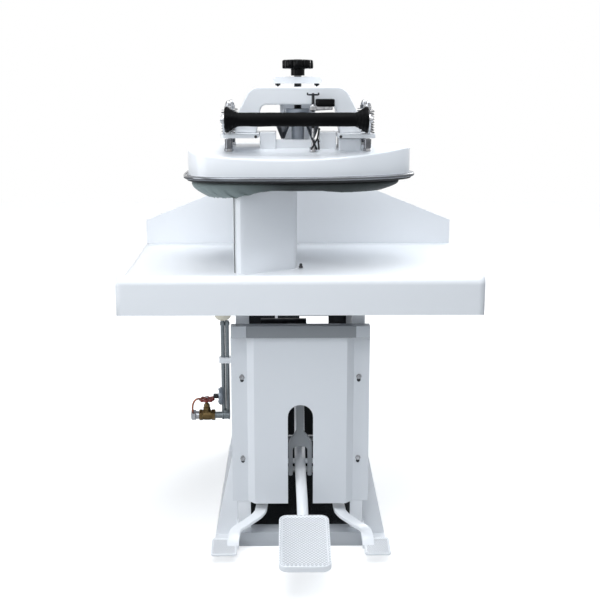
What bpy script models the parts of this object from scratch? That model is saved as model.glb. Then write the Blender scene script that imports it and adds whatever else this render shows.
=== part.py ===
"""Foot-operated steam ironing press, in metres with +Z up.

The origin is on the floor, under the middle of the front base rail. X runs to the operator's
right, Y runs away from the operator. The head is closed on the buck, as it stands in use.
"""

import math

import bmesh
import bpy
from mathutils import Matrix, Vector

# Clearances shared by all pieces
gap = 0.0003
running_gap = 0.0006
overrun = 0.010
weld = 0.00001
screw_merge = 0.00005

# Base: folded rails on the floor, the pan between them and the two long feet
rail_height = 0.045
rail_depth = 0.060
rail_plate = 0.004
rear_rail_y = 0.855
pan_plate = 0.004
foot_reach = 0.074
foot_height = 0.260
foot_top_reach = 0.020
foot_leg = 0.060
foot_plate = 0.006
foot_toe = 0.018
front_gusset_y = 0.045
rear_gusset_y = 0.790
floor_bolt_radius = 0.007
floor_bolt_ys = (0.110, 0.700)

# Side frames: bent plate channels with a tower at the back
frame_half = 0.192
frame_plate = 0.006
frame_flange = 0.039
frame_front = 0.005
frame_back = 0.850
frame_top = 0.785
tower_front = 0.690
tower_rise = 0.170
tower_top = frame_top + tower_rise
window_front = 0.130
window_back = 0.500
window_low = 0.160
window_high = 0.500
window_corner = 0.040

# Joint axes seen from the side, as (y, z)
arm_pivot_y = 0.770
arm_pivot_rise = 0.115
arm_pivot = (arm_pivot_y, frame_top + arm_pivot_rise)
rocker_pivot_y = 0.255
rocker_pivot_drop = 0.165
rocker_pivot = (rocker_pivot_y, frame_top - rocker_pivot_drop)
pedal_pivot_y = 0.580
pedal_pivot_z = 0.360
pedal_pivot = (pedal_pivot_y, pedal_pivot_z)
side_pedal_pivot_y = 0.300
side_pedal_pivot_z = 0.120
side_pedal_pivot = (side_pedal_pivot_y, side_pedal_pivot_z)

# Shafts and the bearing bosses on the frames
arm_shaft_radius = 0.020
rocker_shaft_radius = 0.016
pedal_shaft_radius = 0.014
side_shaft_radius = 0.010
bearing_wall = 0.015
bearing_length = 0.018
bearing_face = frame_half - frame_plate - bearing_length
shaft_end = 0.006
shaft_seats = ((arm_pivot, arm_shaft_radius), (rocker_pivot, rocker_shaft_radius),
               (pedal_pivot, pedal_shaft_radius), (side_pedal_pivot, side_shaft_radius))

# Front cover: a pressed sheet hat with a pedal slot
cover_overhang = 0.016
cover_half = frame_half + cover_overhang
cover_fold_inset = 0.032
cover_fold = frame_half - cover_fold_inset
cover_bevel = 0.021
cover_face_half = cover_fold - cover_bevel
cover_proud = 0.022
cover_low = 0.1355
cover_top_drop = 0.1264
cover_high = frame_top - cover_top_drop
cover_sheet = 0.002
slot_half = 0.038
slot_top = 0.451
bolt_inset = 0.0165
bolt_x = frame_half - bolt_inset
bolt_zs = (0.2713, 0.5285)
keyhole_half = 0.0055
keyhole_height = 0.024
bolt_hole_radius = 0.0046
top_rail_overhang = 0.013
top_rail_half = frame_half + top_rail_overhang
top_rail_seat = 0.0024
top_rail_low = cover_high + top_rail_seat
top_rail_height = 0.036
top_rail_high = top_rail_low + top_rail_height
top_rail_front = -0.030

# Table: one folded sheet with a rolled front edge and a tall back panel
table_half = 0.5325
table_sheet_thickness = 0.002
apron_front = -0.067
apron_drop = 0.047
apron_low = frame_top - apron_drop
apron_hem = 0.014
nose_radius = 0.025
nose_turns = (180, 160, 140, 120, 100, 80, 60)
nose_rise = 0.067
nose_top = frame_top + nose_rise
deck_dip_y = 0.130
deck_dip_rise = 0.042
deck_dip_z = frame_top + deck_dip_rise
deck_lip_y = 0.022
deck_lip_rise = 0.049
deck_lip_z = frame_top + deck_lip_rise
deck_middle_y = 0.350
deck_middle_rise = 0.0465
deck_middle_z = frame_top + deck_middle_rise
deck_back_y = 0.615
deck_back_rise = 0.057
deck_back_z = frame_top + deck_back_rise
table_rail_inset = 0.0725
table_rail_half = table_half - table_rail_inset
table_rail_width = 0.030
front_table_rail_y = 0.036
rear_table_rail_y = 0.505
table_rail_plate = 0.003
panel_overlap = 0.010
panel_low = deck_back_z - panel_overlap
panel_end_height = 0.093
panel_end_high = panel_low + panel_end_height
panel_height = 0.228
panel_high = panel_low + panel_height
panel_high_half = 0.193
panel_sheet = 0.002
panel_hem = 0.014
stay_rise = 0.095
stay_low = frame_top + stay_rise
stay_height = 0.040
stay_high = stay_low + stay_height

# Neck: an oblique box column, its carrier plate and the buck on top
neck_corners = ((-0.195, 0.085), (-0.005, 0.202), (-0.030, 0.330), (-0.215, 0.330))
neck_corner_radius = 0.022
neck_wall = 0.005
neck_rise = 0.2965
neck_top = frame_top + neck_rise
neck_plate_thickness = 0.008
neck_plate_front = 0.074
neck_plate_overhang = 0.036
neck_plate_back = 0.350
neck_plate_flange = 0.036
neck_hole_clearance = 0.0015

# Plan of the head: a blunt left end and a long rounded nose on the right
head_centre_y = 0.252
head_widest_x = -0.030
head_left_reach = 0.304
head_right_reach = 0.373
head_left_half = 0.204
head_right_half = 0.178
head_left_power = 4.0
head_right_power = 2.1
plan_steps = 36

# Buck: a shallow cast bed with a hull-shaped chest under it, and a cloth pad drawn over its edge
buck_left_inset = 0.003
buck_right_inset = 0.033
buck_half_inset = 0.020
chest_depth = 0.0135
chest_low = neck_top - chest_depth
chest_inset = 0.125
chest_end_inset = 0.070
chest_side_inset = 0.030
bed_low = neck_top + gap
bed_thickness = 0.0107
bed_high = bed_low + bed_thickness
bed_end_inset = 0.052
bed_side_inset = 0.014
pad_fit = 0.0005
pad_rise = 0.0140
pad_high = bed_high + pad_rise
pad_edge_drop = 0.0025
pad_edge_z = pad_high - pad_edge_drop
pad_swell_rise = 0.0045
pad_swell_z = bed_high + pad_swell_rise
pad_hem_z = bed_low + gap
pad_hem_drop = 0.0215
pad_hem_left_x = -0.215
pad_hem_right_x = -0.080
pad_hem_end_inset = 0.045
pad_hem_side_inset = 0.004
pad_top_inset = 0.012
pad_edge_inset = 0.003
pad_gather = 0.0012
pad_gathers = 9
pad_side_shares = (0.36, 0.72)

# Head: steel sole, cast platen and painted cover
closed_gap = 0.0005
sole_low = pad_high + closed_gap
sole_height = 0.0175
sole_high = sole_low + sole_height
sole_proud = 0.015
sole_slant = 0.012
sole_slant_height = 0.010
sole_wall = 0.0035
sole_floor = 0.004
sole_fit = 0.0005
platen_draw = 0.010
platen_top_draw = 0.020
platen_rise = 0.0355
platen_high = sole_high + platen_rise
cover_wall_sheet = 0.003
cover_rise = 0.0790
cover_crown = sole_high + cover_rise
cover_edge_radius = 0.005
cover_edge_shares = ((0, 1), (0.3, 0.3), (1, 0))
cover_lining_shares = ((0.3, 0.3),)
cover_ring_shares = (0.5,)
cover_dip = 0.028
cover_dip_x = -0.020
cover_dip_half = 0.340
cover_dip_power = 0.55
head_x = -0.005

# Column, posts and springs between the head and the yoke
column_radius = 0.036
column_clearance = 0.013
column_foot_radius = 0.050
column_foot_height = 0.012
column_bore_depth = 0.040
flange_radius = 0.066
flange_drop = 0.043
flange_thickness = 0.012
cone_offset = 0.046
cone_radius = 0.018
cone_tip_radius = 0.002
cone_length = 0.035
post_offset = 0.209
post_ys = (0.160, 0.330)
post_names = ("front_left", "rear_left", "front_right", "rear_right")
post_radius = 0.0070
post_collar_radius = 0.0125
collar_drop = 0.027
collar_height = 0.010
ear_clearance = 0.0315
ear_low = cover_crown + ear_clearance
post_collar_low = ear_low - collar_drop
post_collar_high = post_collar_low + collar_height
ear_thickness = 0.012
ear_high = ear_low + ear_thickness
ear_outer = 0.240
ear_inner = 0.118
ear_front = 0.115
ear_back = 0.365
ear_corner = 0.012
spring_wire = 0.0020
spring_coil = 0.0190
spring_length = 0.068
spring_top = ear_high + spring_length
spring_curls = 7
curl_points = 8
post_washer_radius = 0.0200
post_washer_height = 0.0022
cap_nut_radius = 0.0120
cap_nut_hex_height = 0.010
cap_nut_height = 0.027
cap_nut_dome_shares = ((0, 1), (0.45, 0.88), (0.80, 0.50), (0.85, 0))

# Yoke arch and arm
arch_front = 0.185
arch_back = 0.305
arch_rise = 0.137
arch_top = ear_high + arch_rise
arch_shoulder_rise = 0.060
arch_shoulder = ear_high + arch_shoulder_rise
arch_top_half = 0.142
arch_shoulder_half = 0.1815
arch_foot_half = 0.1925
arch_inner_half = 0.1125
arch_inner_foot_half = 0.1280
arch_crown = 0.053
arch_inner_top = arch_top - arch_crown
column_high = arch_inner_top - column_clearance
flange_low = column_high - flange_drop
flange_high = flange_low + flange_thickness
cone_low = flange_low - cone_length
arch_round = 0.040
arch_inner_round = 0.022
arm_half = 0.055
arm_plate = 0.010
arm_strip_drop = 0.0025
arm_depth = 0.084
arm_start = 0.290
arm_start_low_inset = 0.003
arm_top_drop = 0.003
arm_bend_y = 0.600
arm_back_reach = 0.045
arm_back_y = arm_pivot_y + arm_back_reach
arm_back_drop = 0.214
arm_back_top = arch_top - arm_back_drop
arm_inner_y = arm_pivot_y - arm_back_reach
arm_inner_drop = 0.040
arm_inner_z = arm_back_top - arm_inner_drop
arm_bend_round = 0.090
hub_radius = 0.032
hub_play = 0.018
hub_half = bearing_face - hub_play
crank_length = 0.260
tail_radius = 0.027
tail_corner = 0.009
crank_pin_radius = 0.008
lug_inset = 0.040
lug_x = hub_half - lug_inset
lug_plate = 0.010
lug_reach = 0.118
lug_rise = 0.055
lug_radius = 0.018
lug_pin_radius = 0.006
lug_pin_length = 0.026

# Counterbalance springs behind the frame
counter_wire = 0.0030
counter_coil = 0.0220
counter_curls = 10
counter_drop = 0.340
counter_bottom = arm_pivot[1] - counter_drop
counter_hook = 0.013
counter_lead = 0.045
hook_lead_share = 0.6
hook_turns = (60, 15, -30, -75, -120, -165, -210)
crossbar_depth = 0.052
crossbar_drop = 0.060
crossbar_low = counter_bottom - crossbar_drop
crossbar_height = 0.030
crossbar_high = crossbar_low + crossbar_height
crossbar_plate = 0.005

# Pressure adjustment on top of the yoke
bridge_left = -0.080
bridge_right = 0.0675
bridge_rise = 0.010
bridge_low = arch_top + bridge_rise
bridge_thickness = 0.020
bridge_high = bridge_low + bridge_thickness
bridge_depth = 0.050
bridge_chamfer = 0.008
stud_radius = 0.0065
stud_tip_radius = 0.0020
stud_inset = 0.014
stud_shank = 0.003
screw_radius = 0.0120
screw_depth = 0.020
screw_pitch = 0.004
knob_hub_radius = 0.021
knob_clearance = 0.0033
knob_low = bridge_high + knob_clearance
knob_hub_height = 0.0197
knob_wheel_low = knob_low + knob_hub_height
knob_wheel_radius = 0.0440
knob_edge = 0.004
knob_lobe = 0.0035
knob_lobes = 8
knob_wheel_height = 0.0275
knob_wheel_high = knob_wheel_low + knob_wheel_height
knob_dome_rise = 0.0015
knob_dome = knob_wheel_high + knob_dome_rise
knob_steps = 40

# Handle in front of the head
handle_y = 0.100
handle_rise = 0.0435
handle_z = ear_high + handle_rise
handle_bar_radius = 0.009
handle_left = -0.222
handle_right = 0.202
grip_radius = 0.0205
grip_flare = 0.0340
grip_flare_length = 0.046
grip_flare_shares = ((0.93, 0), (1, 0.12), (0.86, 0.42), (0.68, 0.80))
lug_bar_thickness = 0.006
handle_lug_radius = 0.017
handle_lug_turns = (-20, 10, 40, 70, 100, 130, 160, 190, 220)

# Hand valve on the head
hand_valve_x = 0.040
hand_valve_y = 0.165
hand_valve_seat_share = 1 / 3
hand_valve_base = 0.014
hand_valve_barrel = 0.0095
hand_valve_rise = 0.0585
hand_valve_high = cover_crown + hand_valve_rise
stem_radius = 0.0045
stem_length = 0.104
stem_high = hand_valve_high + stem_length
prong_half = 0.017
prong_radius = 0.0025
lever_rise = 0.051
lever_low = hand_valve_high + lever_rise
lever_height = 0.0155
lever_high = lever_low + lever_height
lever_depth = 0.014
lever_left = 0.030
lever_right = 0.099
hand_grip_left = 0.043
hand_grip_right = 0.108
hand_grip_height = 0.0225
hand_grip_high = lever_high + hand_grip_height
hand_grip_depth = 0.022

# Main pedal lever, its plate and the linkage
lever_radius = 0.01685
lever_offset = 0.005
lever_route_share = 0.68
lever_plate_share = 2 / 3
lever_neck_start = 0.0056
lever_neck_end = 0.0573
plate_x = 0.0085
lever_hub_half = 0.052
lever_hub_radius = 0.027
plate_half = 0.073
plate_back = -0.140
plate_front = -0.380
plate_back_z = 0.153
plate_front_z = 0.108
plate_thickness = 0.020
plate_corner = 0.024
plate_border = 0.009
plate_recess = 0.0025
fork_pin_z = 0.235
fork_half = 0.0365
fork_prong = 0.0135
fork_toe_round = 0.0045
fork_shoulder_round = 0.0107
fork_waist_round = 0.016
fork_low = 0.190
fork_crown = 0.300
fork_inner_top = 0.286
fork_stem_half = 0.0115
fork_stem_start = 0.332
fork_depth = 0.022
fork_neck = 0.052
eye_half = 0.008
eye_radius = 0.019
rocker_front_arm = 0.200
rocker_rest_angle = 30.0
rocker_hub_play = 0.043
rocker_hub_left = rocker_hub_play - bearing_face
rocker_hub_right = 0.022
rocker_hub_radius = 0.034
rocker_join_share = 0.75
rocker_cheek_inner = 0.0095
rocker_cheek = 0.008
rocker_end_radius = 0.024
rocker_slot_start = 0.182
rocker_slot_end = 0.206
rocker_slot_half = 0.0102
rocker_arm_x = -0.090
rocker_arm_half = 0.006
rocker_arm_radius = 0.020
push_rod_left = -0.0835
push_rod_right = -0.0735
push_rod_half = 0.013
push_rod_eye = 0.019

# Two small pedals beside the main one
side_pedal_inset = 0.0725
side_pedal_x = frame_half - side_pedal_inset
side_hub_half = 0.022
side_hub_radius = 0.018
side_bar_width = 0.036
side_bar_thickness = 0.012
side_bar_route = ((0, 0.290, 0.120), (0, 0.120, 0.120), (0, 0.010, 0.113), (0.0105, -0.022, 0.101),
                  (0.0455, -0.045, 0.083), (0.0755, -0.062, 0.068), (0.0835, -0.085, 0.047),
                  (0.0835, -0.110, 0.0345))
side_pad_offset = 0.1095
side_pad_half = 0.0385
side_pad_front = -0.150
side_pad_back = -0.074
side_pad_front_z = 0.033
side_pad_back_z = 0.050
side_pad_thickness = 0.009
side_pad_corner = 0.010
side_pad_border = 0.006
side_pad_recess = 0.002

# Steam pipework on the left of the frame
pipe_y = 0.220
riser_offset = 0.0532
riser_x = -frame_half - riser_offset
riser_radius = 0.0058
drain_offset = 0.0395
drain_x = -frame_half - drain_offset
drain_radius = 0.0050
pipe_line_z = 0.341
pipe_radius = 0.0107
tee_half = 0.0125
tee_radius = 0.0150
tee_height = 0.019
nipple_offset = 0.0815
nipple_left = -frame_half - nipple_offset
valve_length = 0.0515
valve_left = nipple_left - valve_length
valve_radius = 0.0165
valve_end_radius = 0.0185
valve_end_length = 0.011
valve_neck_radius = 0.01485
bonnet_offset = 0.027
bonnet_x = nipple_left - bonnet_offset
bonnet_radius = 0.0115
bonnet_top_radius = 0.00805
valve_stem_radius = 0.0039
bonnet_rise = 0.0175
bonnet_low = pipe_line_z + bonnet_rise
bonnet_height = 0.0245
bonnet_high = bonnet_low + bonnet_height
wheel_clearance = 0.006
wheel_low = bonnet_high + wheel_clearance
wheel_radius = 0.0245
wheel_rim = 0.0042
wheel_hub = 0.0065
wheel_height = 0.009
wheel_spokes = 5
wheel_spoke_half = 0.0022
wheel_spoke_start_share = 0.7
union_length = 0.026
union_left = valve_left - union_length
union_radius = 0.0170
union_neck_radius = 0.0130
union_nut_length = 0.0154
trap_rise = 0.064
trap_z = pipe_line_z + trap_rise
trap_radius = 0.0285
trap_width = 0.0155
trap_nut_radius = 0.0105
trap_nut_width = 0.008
trap_edge_shares = ((0.82, 1), (1, 0.8), (1, 0.2), (0.82, 0))
separator_offset = 0.052
separator_x = -frame_half - separator_offset
separator_radius = 0.0255
separator_dish_shares = ((1, 0.60), (0.85, 0.25), (0.55, 0.07), (0, 0))
separator_clearance = 0.007
separator_high = frame_top - separator_clearance
separator_height = 0.122
separator_low = separator_high - separator_height
clamp_rise = 0.177
clamp_low = pipe_line_z + clamp_rise
clamp_height = 0.018
clamp_high = clamp_low + clamp_height
clamp_depth = 0.030
clamp_wrap = 0.007

# Finishes as colour, roughness and metallic
white_paint = ((0.80, 0.82, 0.85), 0.35, 0.0)
black_steel = ((0.045, 0.047, 0.050), 0.35, 0.4)
bright_steel = ((0.62, 0.63, 0.65), 0.22, 1.0)
sole_steel = ((0.38, 0.39, 0.40), 0.30, 1.0)
cast_metal = ((0.42, 0.43, 0.45), 0.50, 1.0)
grey_cloth = ((0.25, 0.30, 0.30), 0.90, 0.0)
black_plastic = ((0.012, 0.012, 0.013), 0.40, 0.0)
brass_metal = ((0.50, 0.36, 0.14), 0.35, 1.0)
red_paint = ((0.45, 0.05, 0.03), 0.40, 0.0)
pipe_steel = ((0.30, 0.34, 0.38), 0.40, 0.9)
cream_paint = ((0.80, 0.76, 0.64), 0.40, 0.0)

for old in list(bpy.data.objects):
    bpy.data.objects.remove(old, do_unlink=True)

press = bpy.data.collections.new("steam_ironing_press")
bpy.context.scene.collection.children.link(press)
cutters = bpy.data.collections.new("cutters")
bpy.context.scene.collection.children.link(cutters)

# Each drawing plane takes an outline's (u, v) and the way it is thickened to world axes
planes = {
    "XY": Matrix(((1, 0, 0, 0), (0, 1, 0, 0), (0, 0, 1, 0), (0, 0, 0, 1))),
    "XZ": Matrix(((1, 0, 0, 0), (0, 0, 1, 0), (0, 1, 0, 0), (0, 0, 0, 1))),
    "YZ": Matrix(((0, 0, 1, 0), (1, 0, 0, 0), (0, 1, 0, 0), (0, 0, 0, 1))),
}
smooth_degrees = 35
smooth_angle = math.radians(smooth_degrees)


def tidy(shape):
    """Weld a shape's doubled points and turn its faces outward."""
    bmesh.ops.remove_doubles(shape, verts=shape.verts, dist=weld)
    bmesh.ops.recalc_face_normals(shape, faces=shape.faces)
    return shape


def evaluated(holder):
    """Read a helper object's evaluated mesh into a shape and remove the helper."""
    cutters.objects.link(holder)
    bpy.context.view_layer.update()
    graph = bpy.context.evaluated_depsgraph_get()
    mesh = bpy.data.meshes.new_from_object(holder.evaluated_get(graph))
    shape = bmesh.new()
    shape.from_mesh(mesh)
    bpy.data.objects.remove(holder)
    bpy.data.meshes.remove(mesh)
    return shape


def slab(plane, loops, low, high):
    """An outline, with any holes after it, thickened from low to high across its plane."""
    curve = bpy.data.curves.new("outline", "CURVE")
    curve.dimensions = "2D"
    curve.fill_mode = "BOTH"
    curve.extrude = (high - low) / 2
    for loop in loops:
        spline = curve.splines.new("POLY")
        spline.points.add(len(loop) - 1)
        for point, (u, v) in zip(spline.points, loop):
            point.co = (u, v, 0, 1)
        spline.use_cyclic_u = True
    shape = evaluated(bpy.data.objects.new("outline", curve))
    shape.transform(planes[plane] @ Matrix.Translation((0, 0, (low + high) / 2)))
    return tidy(shape)


def box(low, high):
    """A block between its lowest and highest corners."""
    shape = bmesh.new()
    bmesh.ops.create_cube(shape, size=1)
    low, high = Vector(low), Vector(high)
    size = Matrix.Diagonal((*(high - low), 1))
    shape.transform(Matrix.Translation((low + high) / 2) @ size)
    return tidy(shape)


def rod(start, end, radius, sides=12, end_radius=None):
    """A round bar, or a cone where the end radius differs."""
    shape = bmesh.new()
    start, end = Vector(start), Vector(end)
    along = end - start
    bmesh.ops.create_cone(shape, cap_ends=True, segments=sides, radius1=radius,
                          radius2=radius if end_radius is None else end_radius, depth=along.length)
    turn = along.to_track_quat("Z", "Y").to_matrix().to_4x4()
    shape.transform(Matrix.Translation((start + end) / 2) @ turn)
    return tidy(shape)


def turned(profile, base, direction=(0, 0, 1), sides=24):
    """Turn a profile of (radius, height) pairs, listed from the top down, about an axis."""
    mesh = bpy.data.meshes.new("profile")
    points = [(radius, 0, height) for radius, height in profile]
    mesh.from_pydata(points, [(i, i + 1) for i in range(len(points) - 1)], [])
    holder = bpy.data.objects.new("profile", mesh)
    screw = holder.modifiers.new("turn", "SCREW")
    screw.steps = sides
    screw.render_steps = sides
    screw.use_merge_vertices = True
    screw.merge_threshold = screw_merge
    shape = evaluated(holder)
    turn = Vector(direction).to_track_quat("Z", "Y").to_matrix().to_4x4()
    shape.transform(Matrix.Translation(base) @ turn)
    return tidy(shape)


def sweep(route, radius, resolution=2, cyclic=False):
    """A round tube along a route of points, with closed ends."""
    curve = bpy.data.curves.new("route", "CURVE")
    curve.dimensions = "3D"
    curve.bevel_depth = radius
    curve.bevel_resolution = resolution
    curve.use_fill_caps = True
    spline = curve.splines.new("POLY")
    spline.points.add(len(route) - 1)
    for point, place in zip(spline.points, route):
        point.co = (*place, 1)
    spline.use_cyclic_u = cyclic
    return tidy(evaluated(bpy.data.objects.new("route", curve)))


def loft(rings):
    """A closed skin through rings of equally many points, flat at its first and last ring."""
    shape = bmesh.new()
    rows = [[shape.verts.new(point) for point in ring] for ring in rings]
    count = len(rows[0])
    for lower, upper in zip(rows, rows[1:]):
        for i in range(count):
            j = (i + 1) % count
            shape.faces.new((lower[i], lower[j], upper[j], upper[i]))
    shape.faces.new(rows[0])
    shape.faces.new(rows[-1])
    return tidy(shape)


def piece(name, shape, finish):
    """Put a shape in the press as a named sub-part with its own material."""
    mesh = bpy.data.meshes.new(name)
    shape.to_mesh(mesh)
    shape.free()
    mesh.shade_smooth()
    mesh.set_sharp_from_angle(angle=smooth_angle)
    made = bpy.data.objects.new(name, mesh)
    press.objects.link(made)
    surface = bpy.data.materials.new(name)
    surface.use_nodes = True
    colour, roughness, metallic = finish
    shader = surface.node_tree.nodes["Principled BSDF"]
    shader.inputs["Base Color"].default_value = (*colour, 1)
    shader.inputs["Roughness"].default_value = roughness
    shader.inputs["Metallic"].default_value = metallic
    mesh.materials.append(surface)
    return made


def boolean(target, shape, operation):
    """Cut or join a shape to a piece with a Boolean that stays on the piece."""
    mesh = bpy.data.meshes.new(target.name + "_tool")
    shape.to_mesh(mesh)
    shape.free()
    tool = bpy.data.objects.new(target.name + "_tool", mesh)
    tool.hide_render = True
    tool.display_type = "WIRE"
    cutters.objects.link(tool)
    modifier = target.modifiers.new(operation.lower(), "BOOLEAN")
    modifier.operation = operation
    modifier.solver = "EXACT"
    modifier.object = tool


def cut(target, *shapes):
    for shape in shapes:
        boolean(target, shape, "DIFFERENCE")


def fuse(target, *shapes):
    for shape in shapes:
        boolean(target, shape, "UNION")


def circle(u, v, radius, sides=12):
    """Points of a circle round (u, v)."""
    turns = [2 * math.pi * i / sides for i in range(sides)]
    return [(u + radius * math.cos(t), v + radius * math.sin(t)) for t in turns]


def bore(radius, sides=12):
    """The corner radius that keeps a faceted hole's flats clear of a round bar."""
    return radius / math.cos(math.pi / sides)


def rectangle(left, right, low, high):
    return [(left, low), (right, low), (right, high), (left, high)]


def rounded(points, radius, steps=3):
    """Replace each corner of a closed outline with an arc; a radius of zero keeps the corner."""
    radii = radius if isinstance(radius, (list, tuple)) else [radius] * len(points)
    outline = []
    for i, (point, wanted) in enumerate(zip(points, radii)):
        corner = Vector(point)
        before = Vector(points[i - 1]) - corner
        after = Vector(points[(i + 1) % len(points)]) - corner
        if wanted == 0:
            outline.append(tuple(corner))
            continue
        half = before.angle(after) / 2
        reach = min(wanted / math.tan(half), before.length / 2, after.length / 2)
        fitted = reach * math.tan(half)
        centre = corner + (before.normalized() + after.normalized()).normalized() * (fitted / math.sin(half))
        first = corner + before.normalized() * reach - centre
        last = corner + after.normalized() * reach - centre
        sweep_angle = first.angle_signed(last)
        for step in range(steps + 1):
            turn = Matrix.Rotation(-sweep_angle * step / steps, 2)
            outline.append(tuple(centre + turn @ first))
    return outline


def obround(start, end, start_radius, end_radius, steps=6):
    """A flat link outline with a round end about each of two points."""
    start, end = Vector(start), Vector(end)
    facing = math.atan2(end.y - start.y, end.x - start.x)
    outline = []
    for centre, radius, turn in ((end, end_radius, 0), (start, start_radius, math.pi)):
        for step in range(steps + 1):
            angle = facing + turn - math.pi / 2 + math.pi * step / steps
            outline.append((centre.x + radius * math.cos(angle), centre.y + radius * math.sin(angle)))
    return outline


def eyed_bar(start, end, eye_radius, half, steps=8):
    """A flat bar's outline with a round eye at both ends, wider than the bar."""
    start, end = Vector(start), Vector(end)
    facing = math.atan2(end.y - start.y, end.x - start.x)
    reach = math.pi - math.asin(half / eye_radius)
    outline = []
    for centre, turn in ((end, 0), (start, math.pi)):
        for step in range(steps + 1):
            angle = facing + turn - reach + 2 * reach * step / steps
            outline.append((centre.x + eye_radius * math.cos(angle), centre.y + eye_radius * math.sin(angle)))
    return outline


def beside(path, distance):
    """The path moved sideways to its left by a distance, mitred at its corners."""
    moved = []
    for i, point in enumerate(path):
        here = Vector(point)
        sides = []
        if i > 0:
            sides.append((here - Vector(path[i - 1])).normalized())
        if i < len(path) - 1:
            sides.append((Vector(path[i + 1]) - here).normalized())
        normals = [Vector((-side.y, side.x)) for side in sides]
        mean = sum(normals, Vector((0, 0))).normalized()
        moved.append(tuple(here + mean * (distance / mean.dot(normals[0]))))
    return moved


def folded(path, thickness):
    """The closed outline of a sheet bent along a path, thickened to the path's left."""
    return list(path) + list(reversed(beside(path, thickness)))


def smooth_route(points, steps=4):
    """A smooth curve through route points, straight at both ends."""
    places = [Vector(point) for point in points]
    ends = [places[0] * 2 - places[1]] + places + [places[-1] * 2 - places[-2]]
    route = []
    for a, b, c, d in zip(ends, ends[1:], ends[2:], ends[3:]):
        for step in range(steps):
            t = step / steps
            route.append(((b * 2) + (c - a) * t + (a * 2 - b * 5 + c * 4 - d) * t * t
                          + (b * 3 - a - c * 3 + d) * t * t * t) / 2)
    route.append(places[-1])
    return route


def channel(low_u, high_u, low_v, high_v, plate):
    """A C outline, open towards high u."""
    path = [(high_u, high_v), (low_u, high_v), (low_u, low_v), (high_u, low_v)]
    return folded(path, plate)


def cross_bore(point, radius, half, sides=12):
    """A hole along X through (y, z) for a round bar of a radius."""
    y, z = point
    size = bore(radius + running_gap, sides)
    return slab("YZ", [circle(y, z, size, sides)], -half, half)


def base_rails():
    """Two channels with their open sides facing each other."""
    half = rail_depth / 2
    front = channel(-half, half, 0, rail_height, rail_plate)
    rear = [(rear_rail_y - y, z) for y, z in front]
    for name, profile in (("front_rail", front), ("rear_rail", rear)):
        piece(name, slab("YZ", [profile], -frame_half, frame_half), white_paint)


def base_pan():
    """The dark floor pan lies on the lower flanges of both rails."""
    half = rail_depth / 2
    low = rail_plate + gap
    side = frame_half - frame_plate
    piece("base_pan", box((-side, low - half, low), (side, rear_rail_y + half - low, low + pan_plate)), black_steel)


def feet():
    """Angle feet outside the frames, with a gusset at each end."""
    start = frame_half + gap
    reach = start + foot_reach
    inset = foot_plate / 2
    angle = [(start, 0), (reach, 0), (reach, foot_plate), (start + foot_plate, foot_plate),
             (start + foot_plate, foot_leg), (start, foot_leg)]
    gusset = [(start + inset, inset), (reach - inset, inset), (reach - inset, foot_toe),
              (start + foot_top_reach, foot_height), (start + inset, foot_height)]
    for name, side in (("foot_left", -1), ("foot_right", 1)):
        flange = [(side * x, z) for x, z in angle]
        web = [(side * x, z) for x, z in gusset]
        foot = piece(name, slab("XZ", [flange], 0, frame_back), white_paint)
        for y in (front_gusset_y, rear_gusset_y):
            fuse(foot, slab("XZ", [web], y, y + foot_plate))
        hole_x = side * (start + foot_plate + reach) / 2
        for y in floor_bolt_ys:
            cut(foot, rod((hole_x, y, -overrun), (hole_x, y, foot_plate + overrun), floor_bolt_radius))


def side_frames():
    """Each frame is one bent plate with a window, bearing bosses and a stay for the back panel."""
    low = rail_height + gap
    plan = channel(0, frame_flange, frame_front, frame_back, frame_plate)
    window = rounded(rectangle(window_front, window_back, window_low, window_high), window_corner)
    top = [(frame_front - overrun, frame_top), (tower_front, frame_top),
           (tower_front, tower_top + overrun), (frame_front - overrun, tower_top + overrun)]
    for name, side in (("side_frame_left", -1), ("side_frame_right", 1)):
        outline = [(side * (frame_half - x), y) for x, y in plan]
        frame = piece(name, slab("XY", [outline], low, tower_top), white_paint)
        inner, outer = sorted((side * (frame_half - frame_flange - overrun), side * (frame_half + overrun)))
        cut(frame, slab("YZ", [top], inner, outer), slab("YZ", [window], inner, outer))
        web, face = sorted((side * frame_half, side * (frame_half - frame_plate)))
        fuse(frame, box((web, deck_back_y + panel_sheet + gap * 2, stay_low),
                        (face, tower_front + frame_plate, stay_high)))
        for (y, z), radius in shaft_seats:
            start = side * (frame_half - frame_plate / 2)
            end = side * (frame_half - frame_plate - bearing_length)
            fuse(frame, rod((start, y, z), (end, y, z), radius + bearing_wall))
            cut(frame, slab("YZ", [circle(y, z, bore(radius + gap, 16), 16)], inner, outer))
        for z in bolt_zs:
            cut(frame, rod((side * bolt_x, frame_front - overrun, z),
                           (side * bolt_x, frame_front + frame_plate + overrun, z), bolt_hole_radius))
        if side < 0:
            strap_low = (separator_low + separator_high) / 2
            near, far = pipe_y - clamp_depth / 2, pipe_y + clamp_depth / 2
            fuse(frame, box((separator_x + separator_radius + gap, near, strap_low),
                            (-frame_half + frame_plate / 2, far, strap_low + clamp_high - clamp_low)))


def shafts():
    """Four round shafts from frame to frame, their ends showing outside."""
    names = ("arm_shaft", "rocker_shaft", "pedal_shaft", "side_pedal_shaft")
    reach = frame_half + shaft_end
    for name, ((y, z), radius) in zip(names, shaft_seats):
        piece(name, rod((-reach, y, z), (reach, y, z), radius, 16), bright_steel)


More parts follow.
